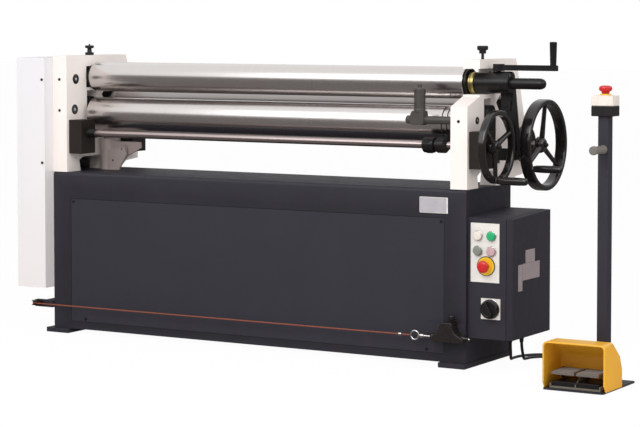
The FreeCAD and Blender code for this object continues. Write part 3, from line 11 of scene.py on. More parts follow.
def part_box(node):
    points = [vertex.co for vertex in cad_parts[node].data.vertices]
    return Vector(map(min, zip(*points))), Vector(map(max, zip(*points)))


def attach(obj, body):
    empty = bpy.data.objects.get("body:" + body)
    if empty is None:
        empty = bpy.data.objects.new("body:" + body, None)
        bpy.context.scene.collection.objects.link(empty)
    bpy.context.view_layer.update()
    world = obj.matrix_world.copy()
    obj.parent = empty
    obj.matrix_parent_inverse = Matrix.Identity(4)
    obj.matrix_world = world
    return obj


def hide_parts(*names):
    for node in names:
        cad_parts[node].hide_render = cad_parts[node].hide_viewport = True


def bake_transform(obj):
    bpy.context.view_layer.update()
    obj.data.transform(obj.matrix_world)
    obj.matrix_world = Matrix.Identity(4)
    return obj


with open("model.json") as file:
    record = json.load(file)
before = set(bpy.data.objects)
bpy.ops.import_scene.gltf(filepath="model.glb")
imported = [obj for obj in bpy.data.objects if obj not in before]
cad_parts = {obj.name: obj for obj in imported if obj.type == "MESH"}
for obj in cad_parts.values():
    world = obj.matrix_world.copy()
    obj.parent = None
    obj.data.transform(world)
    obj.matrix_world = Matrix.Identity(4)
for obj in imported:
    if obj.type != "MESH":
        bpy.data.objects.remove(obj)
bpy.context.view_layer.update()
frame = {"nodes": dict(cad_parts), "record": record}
nodes = frame["nodes"]
scene = bpy.context.scene
scene.view_settings.view_transform = "Standard"
MM = 0.001  # a millimetre in metres; pieces are built in millimetres

camera_data = bpy.data.cameras.new("camera")
camera_data.lens = 120.94
camera_data.sensor_width = 36
camera_data.shift_y = -0.129
camera = bpy.data.objects.new("camera", camera_data)
scene.collection.objects.link(camera)
camera.location = (4.103, -6.608, 1.18)
camera.rotation_euler = (math.radians(87), 0, math.radians(30.5))
scene.camera = camera


# -------- materials


class Graph:
    """A new material, and short calls for its nodes. Noise scales are per metre."""

    def __init__(self, name):
        self.mat = bpy.data.materials.new(name)
        self.mat.use_nodes = True
        self.tree = self.mat.node_tree
        self.shader = self.tree.nodes["Principled BSDF"]
        self.place = self.add("TexCoord").outputs["Object"]

    def add(self, kind, **settings):
        node = self.tree.nodes.new("ShaderNode" + kind)
        for key, value in settings.items():
            setattr(node, key, value)
        return node

    def link(self, source, socket):
        self.tree.links.new(source, socket)

    def stretched(self, stretch):
        mapping = self.add("Mapping")
        mapping.inputs["Scale"].default_value = stretch
        self.link(self.place, mapping.inputs["Vector"])
        return mapping.outputs["Vector"]

    def noise(self, scale, detail=4.0, rough=0.55, stretch=(1, 1, 1)):
        node = self.add("TexNoise")
        self.link(self.stretched(stretch), node.inputs["Vector"])
        node.inputs["Scale"].default_value = scale
        node.inputs["Detail"].default_value = detail
        node.inputs["Roughness"].default_value = rough
        return node.outputs["Fac"]

    def ramp(self, value, *stops):
        """Colours or single numbers at positions from 0 to 1."""
        node = self.add("ValToRGB")
        self.link(value, node.inputs["Fac"])
        bands = node.color_ramp.elements
        while len(bands) < len(stops):
            bands.new(0.5)
        for band, (position, color) in zip(bands, stops):
            band.position = position
            band.color = (*color, 1) if isinstance(color, tuple) else (color, color, color, 1)
        return node.outputs["Color"]

    def mix(self, share, first, second):
        """A blend of two colours, each a socket or a constant."""
        node = self.add("Mix", data_type="RGBA")
        for socket, value in ((0, share), (6, first), (7, second)):
            target = node.inputs[socket]
            if isinstance(value, bpy.types.NodeSocket):
                self.link(value, target)
            else:
                target.default_value = (*value, 1)
        return node.outputs[2]

    def bump(self, height, strength, reach, under=None):
        node = self.add("Bump")
        self.link(height, node.inputs["Height"])
        node.inputs["Strength"].default_value = strength
        node.inputs["Distance"].default_value = reach
        if under is not None:
            self.link(under, node.inputs["Normal"])
        return node.outputs["Normal"]

    def height(self, low, high):
        """0 below one height and 1 above another, in metres."""
        split = self.add("SeparateXYZ")
        self.link(self.place, split.inputs[0])
        span = self.add("MapRange")
        self.link(split.outputs["Z"], span.inputs["Value"])
        span.inputs["From Min"].default_value = low
        span.inputs["From Max"].default_value = high
        return span.outputs["Result"]

    def finish(self, color, rough, normal=None, metallic=0.0, shine=0.5):
        self.link(color, self.shader.inputs["Base Color"])
        self.link(rough, self.shader.inputs["Roughness"])
        if normal is not None:
            self.link(normal, self.shader.inputs["Normal"])
        self.shader.inputs["Metallic"].default_value = metallic
        self.shader.inputs["Specular IOR Level"].default_value = shine
        return self.mat


def shade(color, factor):
    return tuple(min(1.0, part * factor) for part in color)


DUST = (0.20, 0.19, 0.18)
DARK = 0.1  # on paints up to this, dust shows pale and worn edges are lighter


def paint(name, color, rough, mottle, peel, grime, cast=0.0, shine=0.5, low=None):
    """Sprayed paint: orange peel, faint unevenness of tone, a little dust and wear on edges.

    cast is the coarser relief of a casting, and low a darker, pinker colour painted at the foot of
    a tall part as its shade.
    """
    g = Graph(name)
    dark = color[0] <= DARK
    tone = g.ramp(g.noise(5.0, 5), (0.3, shade(color, 1 - mottle)), (0.7, shade(color, 1 + mottle)))
    # painted shade: the tone fades to low below 0.95 m, and is wholly low at 0.25 m
    if low:
        tone = g.mix(g.height(0.25, 0.95), low, tone)
    specks = g.ramp(g.noise(38.0, 8, 0.7), (0.52, 0.0), (0.8, grime))
    body = g.mix(specks, tone, DUST if dark else shade(color, 0.6))
    edges = g.ramp(g.add("NewGeometry").outputs["Pointiness"], (0.52, 0.0), (0.62, 0.35))
    body = g.mix(edges, body, shade(color, 2.2) if dark else color)
    gloss = g.ramp(g.noise(22.0, 6), (0.3, rough - 0.05), (0.75, rough + 0.07))
    skin = g.bump(g.noise(420.0, 2), peel, 0.0006)
    if cast:
        skin = g.bump(g.noise(55.0, 3), cast, 0.002, skin)
    return g.finish(body, gloss, skin, shine=shine)


def metal(name, color, rough, lines, mark, stain=0.2, relief=0.08, spread=0.04):
    """Bare metal with tool marks, whose noise is scaled by lines along X, Y and Z."""
    g = Graph(name)
    marks = g.noise(1.0, 6, 0.7, lines)
    tone = g.ramp(marks, (0.3, shade(color, 1 - mark)), (0.7, shade(color, 1 + mark * 0.5)))
    dull = g.mix(g.ramp(g.noise(9.0, 4), (0.5, 0.0), (0.8, stain)), tone, shade(color, 0.82))
    gloss = g.ramp(marks, (0.25, rough - spread), (0.8, rough + spread))
    grain = g.bump(marks, relief, 0.0003) if relief else None
    return g.finish(dull, gloss, grain, metallic=1.0)


def plastic(name, color, rough=0.35, grain=0.06, shine=0.5):
    """Moulded plastic with a fine grain."""
    g = Graph(name)
    tone = g.ramp(g.noise(30.0, 3), (0.3, shade(color, 0.94)), (0.7, shade(color, 1.05)))
    gloss = g.ramp(g.noise(60.0, 3), (0.3, rough - 0.04), (0.7, rough + 0.06))
    return g.finish(tone, gloss, g.bump(g.noise(900.0, 2), grain, 0.0003), shine=shine)


PAINTS = {
    # low is painted shade: a darker, pinker tone at the foot of the frames and the gear cover
    "frame_cream": dict(color=(0.87, 0.80, 0.76), rough=0.40, mottle=0.02, peel=0.10, grime=0.05,
                        cast=0.05, low=(0.82, 0.73, 0.70)),
    "cover_grey": dict(color=(0.765, 0.755, 0.775), rough=0.38, mottle=0.015, peel=0.08, grime=0.04,
                       low=(0.81, 0.75, 0.74)),
    "dark_paint": dict(color=(0.022, 0.021, 0.028), rough=0.52, mottle=0.08, peel=0.08, grime=0.02,
                       shine=0.22),
    "black_paint": dict(color=(0.006, 0.0055, 0.0055), rough=0.34, mottle=0.10, peel=0.12,
                        grime=0.04, cast=0.05, shine=0.35),
    "housing_paint": dict(color=(0.010, 0.009, 0.008), rough=0.36, mottle=0.10, peel=0.15,
                          grime=0.05, cast=0.06, shine=0.4),
    "worm_paint": dict(color=(0.012, 0.009, 0.007), rough=0.42, mottle=0.10, peel=0.15, grime=0.06,
                       cast=0.08, shine=0.35),
    "lever_grey": dict(color=(0.045, 0.040, 0.035), rough=0.45, mottle=0.12, peel=0.15, grime=0.08,
                       cast=0.05),
    # the rear support's paint: frame cream darkened to taupe, painted shade for its place under the
    # rolls
    "taupe_paint": dict(color=(0.42, 0.35, 0.33), rough=0.5, mottle=0.08, peel=0.15, grime=0.08,
                        cast=0.06),
    "light_grey": dict(color=(0.16, 0.14, 0.11), rough=0.55, mottle=0.10, peel=0.12, grime=0.12,
                       cast=0.05),
    "treadle": dict(color=(0.14, 0.12, 0.105), rough=0.42, mottle=0.10, peel=0.12, grime=0.12),
    "yellow_paint": dict(color=(0.84, 0.43, 0.03), rough=0.34, mottle=0.04, peel=0.12, grime=0.03),
}
METALS = {
    "roll_steel": dict(color=(0.70, 0.665, 0.65), rough=0.25, lines=(140, 4, 4), mark=0.03,
                       stain=0.06, relief=0.0, spread=0.006),
    # the rear roll's steel is the roll steel darkened: painted shade for the gap between the rolls
    # where it is seen
    "rear_steel": dict(color=(0.37, 0.345, 0.335), rough=0.34, lines=(140, 4, 4), mark=0.03,
                       stain=0.06, relief=0.0, spread=0.006),
    "shaft_steel": dict(color=(0.50, 0.42, 0.41), rough=0.30, lines=(160, 8, 8), mark=0.05,
                        stain=0.1, relief=0.0, spread=0.01),
    "steel": dict(color=(0.52, 0.50, 0.48), rough=0.30, lines=(240, 40, 40), mark=0.12),
    "bright_steel": dict(color=(0.72, 0.71, 0.70), rough=0.18, lines=(90, 90, 90), mark=0.08),
    "dull_steel": dict(color=(0.33, 0.31, 0.30), rough=0.40, lines=(160, 60, 60), mark=0.15),
    "chrome": dict(color=(0.80, 0.80, 0.80), rough=0.14, lines=(120, 120, 120), mark=0.05),
    "brass": dict(color=(0.52, 0.43, 0.17), rough=0.28, lines=(400, 20, 20), mark=0.08),
}
PLASTICS = {
    "peg_grey": dict(color=(0.16, 0.14, 0.13), rough=0.5, grain=0.2),
    "blackwheel": dict(color=(0.011, 0.009, 0.009), rough=0.15, grain=0.02, shine=0.6),
    "plate": dict(color=(0.74, 0.71, 0.67), rough=0.36),
    "door_plate": dict(color=(0.29, 0.24, 0.25), rough=0.42),
    "label_grey": dict(color=(0.42, 0.40, 0.43), rough=0.3),
    "white_plastic": dict(color=(0.76, 0.70, 0.63)),
    "black_plastic": dict(color=(0.010, 0.009, 0.009), rough=0.38, grain=0.2, shine=0.4),
    "switch_brown": dict(color=(0.016, 0.012, 0.011), rough=0.28, grain=0.2),
    "green_plastic": dict(color=(0.02, 0.40, 0.16), rough=0.28),
    "grey_green_plastic": dict(color=(0.21, 0.23, 0.19), rough=0.3),
    "pink_plastic": dict(color=(0.52, 0.34, 0.35), rough=0.3),
    "red_plastic": dict(color=(0.55, 0.015, 0.015), rough=0.26),
    "yellow_plastic": dict(color=(0.85, 0.52, 0.02), rough=0.34),
    "cable": dict(color=(0.008, 0.008, 0.009), rough=0.45, grain=0.15),
    "rope": dict(color=(0.23, 0.055, 0.025), rough=0.42, grain=0.1),
}
MATS = {}
for make, looks in ((paint, PAINTS), (metal, METALS), (plastic, PLASTICS)):
    for name, look in looks.items():
        MATS[name] = make(name, **look)

SLOTS = {part["node"]: part["material_slot"] for part in frame["record"]["subparts"]}

# CAD nodes whose finish isn't the plain one of their record slot
OWN = {
    "top_roll": "roll_steel", "lower_roll": "roll_steel", "rear_roll": "roll_steel",
    # the rear support's darkened cream is painted shade
    "rear_support": "taupe_paint", "rear_shaft": "shaft_steel", "swing_bracket": "housing_paint",
    "front_worm_boxes": "worm_paint", "rear_worm_boxes": "worm_paint", "gear_motor": "black_paint",
    "rope_brackets": "dark_paint",
}


def dress(thing, name):
    thing.data.materials.clear()
    thing.data.materials.append(MATS[name])


for name, thing in nodes.items():
    dress(thing, OWN.get(name, SLOTS[name]))


# -------- cords, whose routes are those of part.py

STOP_LEAD = [
    (955, 20, 89), (955, 20, 62), (951, 32, 33), (940, 55, 10), (926, 92, 5.2), (924, 138, 5.2),
    (938, 182, 5.2), (966, 216, 5.2), (1008, 230, 5.2), (1056, 214, 5.2), (1110, 162, 5.2),
    (1166, 100, 5.2), (1224, 34, 5.2), (1276, -36, 6), (1322, -92, 14), (1364, -136, 20),
    (1396, -160, 21), (1407, -186, 20.5), (1407, -205.5, 20),
]
PEDAL_LEAD = [
    (985, 45, 89), (985, 45, 62), (984, 57, 33), (977, 80, 10), (969, 112, 5.2), (974, 150, 5.2),
    (994, 180, 5.2), (1028, 190, 5.2), (1070, 166, 5.2), (1116, 118, 5.2), (1166, 54, 5.2),
    (1212, -12, 5.2), (1250, -66, 7), (1282, -112, 14), (1310, -160, 17.5), (1321, -200, 17),
    (1321, -246, 16),
]
LEAD_RADIUS = 5


def cord_piece(name, node, route):
    """A lead: a NURBS line that has the route's points as its control points."""
    curve = bpy.data.curves.new(name, "CURVE")
    curve.dimensions = "3D"
    curve.bevel_depth = LEAD_RADIUS * MM
    curve.bevel_resolution = 5
    curve.resolution_u = 10
    spline = curve.splines.new("NURBS")
    spline.points.add(len(route) - 1)
    for point, (x, y, z) in zip(spline.points, route):
        point.co = (x * MM, y * MM, z * MM, 1)
    spline.order_u = 3
    spline.use_endpoint_u = True
    curve.use_fill_caps = True
    piece = bpy.data.objects.new(name, curve)
    scene.collection.objects.link(piece)
    curve.materials.append(MATS["cable"])
    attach(piece, "base")
    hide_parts(node)


cord_piece("stop_lead_cord", "stop_lead", STOP_LEAD)
cord_piece("pedal_lead_cord", "pedal_lead", PEDAL_LEAD)


# -------- mesh building, in millimetres

CORNER_SHARE = 0.45  # the most of a run that a rounded corner takes


def soften(outline, reach, steps=3):
    """Rounds the inner corners of an open outline by short curves."""
    points = [Vector(point) for point in outline]
    out = [points[0]]
    for before, here, after in zip(points, points[1:], points[2:]):
        back = min(reach, (before - here).length * CORNER_SHARE)
        ahead = min(reach, (after - here).length * CORNER_SHARE)
        start = here + (before - here).normalized() * back
        end = here + (after - here).normalized() * ahead
        for step in range(steps + 1):
            t = step / steps
            out.append(start * (1 - t) ** 2 + here * 2 * t * (1 - t) + end * t ** 2)
    return out + [points[-1]]


def arc(centre, radius, start, end, steps):
    """Points on a circle between two angles in degrees."""
    points = []
    for step in range(steps + 1):
        angle = math.radians(start + (end - start) * step / steps)
        points.append((centre[0] + radius * math.cos(angle), centre[1] + radius * math.sin(angle)))
    return points


class Build:
    """A mesh that is put together in millimetres and becomes a piece on a body."""

    def __init__(self):
        self.bm = bmesh.new()

    def join(self, low, high):
        """Faces between two rings of the same count."""
        count = len(low)
        for k in range(count):
            after = (k + 1) % count
            self.bm.faces.new((low[k], low[after], high[after], high[k]))

    def lathe(self, axis, centre, outline, steps=48, closed=False, ripple=0.0):
        """An outline (place along the axis, radius) turned about a line through centre.

        ripple draws every second point in, for a knurl.
        """
        order = {"X": (0, 1, 2), "Y": (1, 2, 0), "Z": (2, 0, 1)}[axis]
        rings = []
        for along, radius in outline:
            ring = []
            for k in range(steps if radius > 1e-6 else 1):
                angle = 2 * math.pi * k / steps
                reach = radius - ripple * (k % 2)
                spot = [0.0, 0.0, 0.0]
                spot[order[0]] = along
                spot[order[1]] = reach * math.cos(angle)
                spot[order[2]] = reach * math.sin(angle)
                ring.append(self.bm.verts.new(Vector(centre) + Vector(spot)))
            rings.append(ring)
        pairs = list(zip(rings, rings[1:]))
        if closed:
            pairs.append((rings[-1], rings[0]))
        for low, high in pairs:
            if len(low) > 1 and len(high) > 1:
                self.join(low, high)
                continue
            for k in range(steps):
                after = (k + 1) % steps
                if len(high) > 1:
                    self.bm.faces.new((low[0], high[after], high[k]))
                elif len(low) > 1:
                    self.bm.faces.new((low[k], low[after], high[0]))
        return self

    def block(self, low, high):
        corners = [self.bm.verts.new((x, y, z)) for x in (low[0], high[0])
                   for y in (low[1], high[1]) for z in (low[2], high[2])]
        for face in ((0, 1, 3, 2), (4, 6, 7, 5), (0, 4, 5, 1), (2, 3, 7, 6), (0, 2, 6, 4),
                     (1, 5, 7, 3)):
            self.bm.faces.new([corners[k] for k in face])
        return self

    def prism(self, plane, outline, start, end):
        """A flat outline (u, v) on XY, XZ or YZ, drawn out from start to end."""
        def spot(u, v, depth):
            return {"XY": (u, v, depth), "XZ": (u, depth, v), "YZ": (depth, u, v)}[plane]
        near = [self.bm.verts.new(spot(u, v, start)) for u, v in outline]
        far = [self.bm.verts.new(spot(u, v, end)) for u, v in outline]
        self.bm.faces.new(near)
        self.bm.faces.new(list(reversed(far)))
        count = len(near)
        for k in range(count):
            after = (k + 1) % count
            self.bm.faces.new((near[k], far[k], far[after], near[after]))
        return self

    def ends(self, rings):
        """Faces along a row of rings, and one over each end."""
        for low, high in zip(rings, rings[1:]):
            self.join(low, high)
        self.bm.faces.new(list(reversed(rings[0])))
        self.bm.faces.new(rings[-1])

    def sweep(self, path, radii, steps=16, squeeze=1.0):
        """A round or flattened bar along a path."""
        path = [Vector(point) for point in path]
        side = (path[1] - path[0]).normalized().orthogonal().normalized()
        rings = []
        for k, spot in enumerate(path):
            ahead = (path[min(k + 1, len(path) - 1)] - path[max(k - 1, 0)]).normalized()
            side = (side - ahead * side.dot(ahead)).normalized()
            other = ahead.cross(side)
            ring = []
            for step in range(steps):
                angle = 2 * math.pi * step / steps
                ring.append(self.bm.verts.new(spot + side * math.cos(angle) * radii[k] * squeeze
                                              + other * math.sin(angle) * radii[k]))
            rings.append(ring)
        self.ends(rings)
        return self

    def done(self, name, material, body, *stands_for, bevel=0.0, sharp=34, slot=None):
        """Makes the piece: its body and the nodes it stands for; slot is not used."""
        bmesh.ops.recalc_face_normals(self.bm, faces=self.bm.faces)
        mesh = bpy.data.meshes.new(name)
        self.bm.to_mesh(mesh)
        self.bm.free()
        mesh.transform(Matrix.Scale(MM, 4))
        for face in mesh.polygons:
            face.use_smooth = True
        mesh.set_sharp_from_angle(angle=math.radians(sharp))
        thing = bpy.data.objects.new(name, mesh)
        scene.collection.objects.link(thing)
        dress(thing, material)
        if bevel:
            soft_edges(thing, bevel)
        if body:
            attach(thing, body)
        if stands_for:
            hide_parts(*stands_for)
        return thing


def soft_edges(thing, width, steps=2):
    """Small rounded edges that catch the light."""
    edges = thing.modifiers.new("soft_edges", "BEVEL")
    edges.width = width * MM
    edges.segments = steps
    edges.limit_method = "ANGLE"
    edges.angle_limit = math.radians(40)
    edges.harden_normals = True


# sheet metal and castings that keep their CAD shape, and how wide their edges are rounded
SOFT = {
    "cabinet_shell": 2.0, "front_panel": 0.6, "feet": 1.5, "frame_left": 2.0, "frame_right": 2.0,
    "gear_cover": 2.0, "electrical_box": 1.0, "front_worm_boxes": 1.5, "rear_worm_boxes": 1.2,
    "rope_brackets": 0.8, "swing_bracket": 1.0, "station_plate": 1.0, "station_post": 1.2,
    "clamp_crank": 2.0, "clutch_sleeve": 1.0, "gear_motor": 2.0, "lower_blocks": 1.5,
    "rear_blocks": 1.5, "pivot_bearing": 1.2, "rear_support": 1.2, "control_plates": 0.4,
    "rope_pulley": 0.5,
}
for name, width in SOFT.items():
    soft_edges(nodes[name], width)


# -------- rolls
TOP = (0, 0, 959)  # points on the three rolls' axes
LOW = (0, -8, 818.5)
BACK = (0, 130, 850)
LEFT, RIGHT = -780, 803  # ends of the rolls' faces
GROOVES = (731, 751, 766)
ROLL_SIDES = 128

Build().lathe("X", TOP, [(-852, 0), (-852, 25), (LEFT, 25)] + soften(
    [(LEFT, 25), (LEFT, 44), (LEFT + 10, 55), (RIGHT - 1.5, 55), (RIGHT, 53.5), (RIGHT, 30)],
    1.2, 2) + [(834.5, 30), (849.5, 15), (849.5, 0)], ROLL_SIDES).done(
    "top_roll_steel", "roll_steel", "top_roll", "top_roll")
Build().lathe("X", TOP, soften([(804, 30.4), (804, 50), (813, 50), (813, 30.4)], 2.0), 96,
              True).done("top_roll_collar", "black_paint", "top_roll")

# black rings sunk in the lower roll's wire grooves: painted shade in the grooves of the bare steel
# roll
for near in GROOVES:
    Build().lathe("X", LOW, [(near + 0.2, 57), (near + 0.4, 60.8), (near + 3.6, 60.8),
                             (near + 3.8, 57)], 96, True).done(
        "groove_shade_ring_%d" % near, "black_paint", "lower_roll")
outline = [(LEFT, 22), (LEFT, 51.5), (LEFT + 10, 62.5)]
for near in GROOVES:
    outline += [(near, 62.5), (near + 0.6, 58.5), (near + 3.4, 58.5), (near + 4, 62.5)]
outline += [(RIGHT - 1.5, 62.5), (RIGHT, 61), (RIGHT, 22)]
Build().lathe("X", LOW, [(-932, 0), (-932, 22)] + soften(outline, 0.8, 2) + [(892, 22), (892, 0)],
              ROLL_SIDES).done("lower_roll_steel", "roll_steel", "lower_roll", "lower_roll")

# the rear roll wears a darker copy of the roll steel: painted shade for the gap it lies in
Build().lathe("X", BACK, [(-852, 0), (-852, 20)] + soften(
    [(LEFT, 20), (LEFT, 50), (LEFT + 5, 55), (-756, 55), (-755.4, 52), (-748.6, 52), (-748, 55),
     (RIGHT - 1.5, 55), (RIGHT, 53.5), (RIGHT, 20)], 0.8, 2) + [(877, 20), (877, 0)],
    ROLL_SIDES).done("rear_roll_steel", "rear_steel", "rear_roll", "rear_roll")

Build().lathe("X", TOP, soften(
    [(815, 30.1), (815, 36.2), (816, 37.4), (819, 37.4), (819.7, 36), (821, 36), (821.7, 37.4),
     (834.3, 37.4), (835, 36.6), (835, 30.1)], 0.4, 2), 96, True).done(
    "release_bush", "brass", "top_cradle", "brass_bush")


# -------- drive chain behind the cover
LINKS = 70
CHAIN_Y = -8
MOTOR_Z = 330  # the sprockets' heights
ROLL_Z = 818.5
PITCH_RADIUS = 54.8
STRAIGHT = ROLL_Z - MOTOR_Z
AROUND = math.pi * PITCH_RADIUS


def chain_spot(along):
    """A point of the chain's loop and its direction, in Y and Z."""
    along %= 2 * (STRAIGHT + AROUND)
    if along < STRAIGHT:
        return CHAIN_Y - PITCH_RADIUS, MOTOR_Z + along, 90
    along -= STRAIGHT
    if along < AROUND:
        angle, centre = math.pi - along / PITCH_RADIUS, ROLL_Z
    elif along < AROUND + STRAIGHT:
        return CHAIN_Y + PITCH_RADIUS, ROLL_Z - (along - AROUND), -90
    else:
        angle, centre = -(along - AROUND - STRAIGHT) / PITCH_RADIUS, MOTOR_Z
    return (CHAIN_Y + PITCH_RADIUS * math.cos(angle), centre + PITCH_RADIUS * math.sin(angle),
            math.degrees(angle) - 90)


chain = Build()
pitch = 2 * (STRAIGHT + AROUND) / LINKS
link_shape = (arc((pitch / 2, 0), 4.4, -90, 90, 6) + [(0, 3.2)]
              + arc((-pitch / 2, 0), 4.4, 90, 270, 6) + [(0, -3.2)])
for k in range(LINKS):
    y, z, turn = chain_spot(pitch * k)
    pin = [(-922.4, 0), (-922.4, 2), (-905.6, 2), (-905.6, 0)]
    roller = [(-917.5, 2.4), (-917.5, 4.2), (-910.5, 4.2), (-910.5, 2.4)]
    chain.lathe("X", (0, y, z), pin, 10).lathe("X", (0, y, z), roller, 14, True)
    y, z, turn = chain_spot(pitch * (k + 0.5))
    slope = math.radians(turn)
    outline = [(y + u * math.cos(slope) - v * math.sin(slope),
                z + u * math.sin(slope) + v * math.cos(slope)) for u, v in link_shape]
    for start in ((-921.8, -908), (-919.8, -910))[k % 2]:
        chain.prism("YZ", outline, start, start + 1.7)
chain = chain.done("roller_chain", "dull_steel", None, "drive_chain")
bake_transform(chain)


# -------- release bearing
HUMP = (0, 0, 980)
house = Build()
house.lathe("X", TOP, [(851, 0), (851, 15.5), (835.5, 31)] + soften(
    [(835.5, 33.2), (836.8, 34.5), (958, 34.5), (965, 29), (965, 19.4)], 2.5)
    + soften([(965.5, 19), (1074, 19), (1086, 14.5), (1090, 8), (1090, 0)], 5, 4), 96)
house.lathe("X", TOP, soften([(951, 33), (951, 35.8), (960, 35.8), (964, 33), (964, 30)], 1.5), 72)
crown = [(25, 982.5)] + arc((0, 980), 20, 44, 136, 10) + [(-25, 982.5), (-24, 960), (24, 960)]
house.prism("YZ", crown, 884, 961)
house.lathe("X", HUMP, soften([(884, 0), (884, 19.6), (966, 19.6), (970, 16), (970, 0)], 1.5), 48)
house.lathe("X", HUMP, soften([(969, 0), (971.5, 0.1), (971.5, 9), (969, 10)], 1), 32)
arm = [(942, 741), (976, 737), (958, 924.5), (955, 965), (912, 965), (912, 884), (918, 870),
       (942, 858)]
house.prism("XZ", arm, 25, 52)
house.prism("XZ", [(916, 866), (950, 866), (953, 900), (916, 900)], 19, 26)
house.lathe("Y", (934, 0, 883), soften([(15, 0), (15, 6.5), (17, 7.5), (20, 7.5)], 1), 6)
house.block((939, 32.3, 720), (971, 44.7, 750))
house.lathe("Y", (955, 0, 715), [(32.3, 8.2), (32.3, 15.8), (44.7, 15.8), (44.7, 8.2)], 40, True)
house.done("release_housing", "black_paint", "release_bearing", "swing_bearing", bevel=1.0)


# -------- handwheels


def handwheel(name, body, node, centre, rim, deep, spokes, grip_angle, hub):
    """Deep glossy rim, dished hub with a lock nut, tapered spokes; gives the grip's axis."""
    x, y, z = centre
    half = deep / 2
    inner = rim - 20
    work = Build()
    rim_line = soften([(-half, inner + 9), (-half, rim - 1), (half, rim - 1), (half, rim - 19),
                       (-half, inner + 1), (-half, inner + 9)], 6, 4)
    work.lathe("X", centre, rim_line[:-1], 96, True)
    work.lathe("X", centre, soften([(-23, 0), (-23, hub), (-10, hub), (2, hub * 0.8),
                                    (6.5, hub * 0.6), (6.5, 0)], 4), 48)
    for angle in spokes:
        slope = math.radians(angle)
        out = Vector((0, math.cos(slope), math.sin(slope)))
        path = [Vector((x - 9 + 9 * share, y, z)) + out * (inner + 6) * share
                for share in (0.0, 0.15, 0.5, 0.85, 1.0)]
        work.sweep(path, [12, 11, 9.4, 8.6, 9.4], 20, 0.86)
    grip = math.radians(grip_angle)
    reach = rim - 10
    face = x + half
    pin = (0, y + reach * math.cos(grip), z + reach * math.sin(grip))
    work.lathe("X", pin, [(face - 8, 0), (face - 8, 5), (face + 60, 5), (face + 60, 0)], 24)
    work.lathe("X", pin, soften([(face - 3, 0), (face - 3, 11), (face + 0.3, 9.5), (face + 0.3, 0)],
                                1.5), 32)
    work.done(name, "blackwheel", body, node)
    nut = Build()
    nut.lathe("X", centre, soften([(5, 0), (5, 9.5), (12, 9.5), (13, 8), (13, 0)], 0.6), 6)
    nut.lathe("X", centre, soften([(12, 0), (12, 5.5), (16, 5.5), (17, 4.5), (17, 0)], 0.5), 20)
    nut.done(name + "_nut", "housing_paint", body, slot="blackwheel", sharp=25)
    return pin


PIN_HOLE = 5.6  # radius of the bore in a grip and its washer


def grip_piece(name, body, node, pin, start, end, radius):
    """A smooth handle with a bright washer at its foot and a capped end."""
    Build().lathe("X", pin, soften(
        [(start + 1.5, PIN_HOLE), (start + 1.5, radius - 4), (start + 9, radius - 1),
         (start + 34, radius), (end - 30, radius), (end - 7, radius - 1), (end - 1, radius - 4),
         (end, 0)], 4, 4) + [(start + 66, 0), (start + 66, PIN_HOLE)], 48, True).done(
        name, "blackwheel", body, node)
    Build().lathe("X", pin, soften(
        [(start - 0.4, PIN_HOLE), (start - 0.4, radius - 4), (start + 1.7, radius - 4),
         (start + 1.7, PIN_HOLE)], 0.5), 32, True).done(name + "_washer", "dull_steel", body)


front_pin = handwheel("front_wheel", "front_drive", "handwheel_front", centre=(961, -105, 749),
                      rim=125, deep=25, spokes=(25, 145, -95), grip_angle=-104, hub=24)
rear_pin = handwheel("rear_wheel", "rear_drive", "handwheel_rear", centre=(984, 220, 740),
                     rim=160, deep=40, spokes=(86, -34, -154), grip_angle=-150, hub=29)
grip_piece("front_wheel_grip", "front_grip", "handwheel_front_grip", front_pin,
           start=974.5, end=1087.5, radius=13.5)
grip_piece("rear_wheel_grip", "rear_grip", "handwheel_rear_grip", rear_pin,
           start=1005, end=1114, radius=13)


# -------- adjusting shafts
FRONT = (0, -105, 749)
Build().lathe("X", FRONT, soften([(-778, 0), (-778, 13.2), (942, 13.2), (942, 0)], 1), 48).done(
    "front_shaft_bar", "shaft_steel", "front_drive", "front_shaft")
teeth = [(-732.5, 13)]
for k in range(11):
    teeth += [(-732 + 3 * k, 14.2), (-730.5 + 3 * k, 16)]
teeth += [(-699.5, 13)]
Build().lathe("X", FRONT, teeth, 40).done(
    "front_shaft_thread", "black_paint", "front_drive", sharp=20)
hub = Build().lathe("X", FRONT, soften([(686, 13), (686, 22), (690, 27), (726, 27), (730, 24),
                                        (730, 13)], 1.5), 56)
for angle in (35, 155, 275):
    slope = math.radians(angle)
    spot = Vector((0, FRONT[1] + 26 * math.cos(slope), FRONT[2] + 26 * math.sin(slope)))
    hub.sweep([spot + Vector((696, 0, 0)), spot + Vector((718, 0, 0))], [3.5, 3.5], 12)
hub.done("clutch_hub", "black_paint", "front_drive")
Build().lathe("X", FRONT, soften([(933, 13.5), (933, 20), (938, 20), (941, 16), (941, 13.5)], 1),
              40, True).done("front_seal_ring", "black_paint", "base")


# -------- release lever
LEVER = (0, -150, 836)
bar = Build()
bar.lathe("X", LEVER, soften([(643, 0), (643, 12.5), (645, 14.5), (712, 14.5), (714, 13.6),
                              (813, 13.6), (815, 12), (815, 0)], 1), 48)
bar.lathe("X", LEVER, [(813, 0), (813, 9), (838, 9), (838, 0)], 32)
bar.lathe("X", LEVER, soften([(660, 0), (660, 17.5), (664, 18.5), (712, 18.5), (716, 17),
                              (716, 0)], 2), 48)
knuckle = soften([(692, 818), (668, 818), (661, 827), (661, 846), (670, 867), (713, 867),
                  (716, 845), (716, 828), (710, 818), (692, 818)], 5, 3)
bar.prism("XZ", knuckle[:-1], -168.5, -131.5)
bar.done("lever_arm", "lever_grey", "lever", "release_lever", bevel=2.0)
Build().lathe("Z", (692, -150, 0), soften(
    [(860, 0), (860, 20.4), (871, 20.4), (873, 19), (940, 20), (945, 17.5), (946.5, 7.5),
     (956, 7.5), (958, 6), (958, 0)], 1.5), 48).done("lever_grip_sleeve", "lever_grey", "lever")


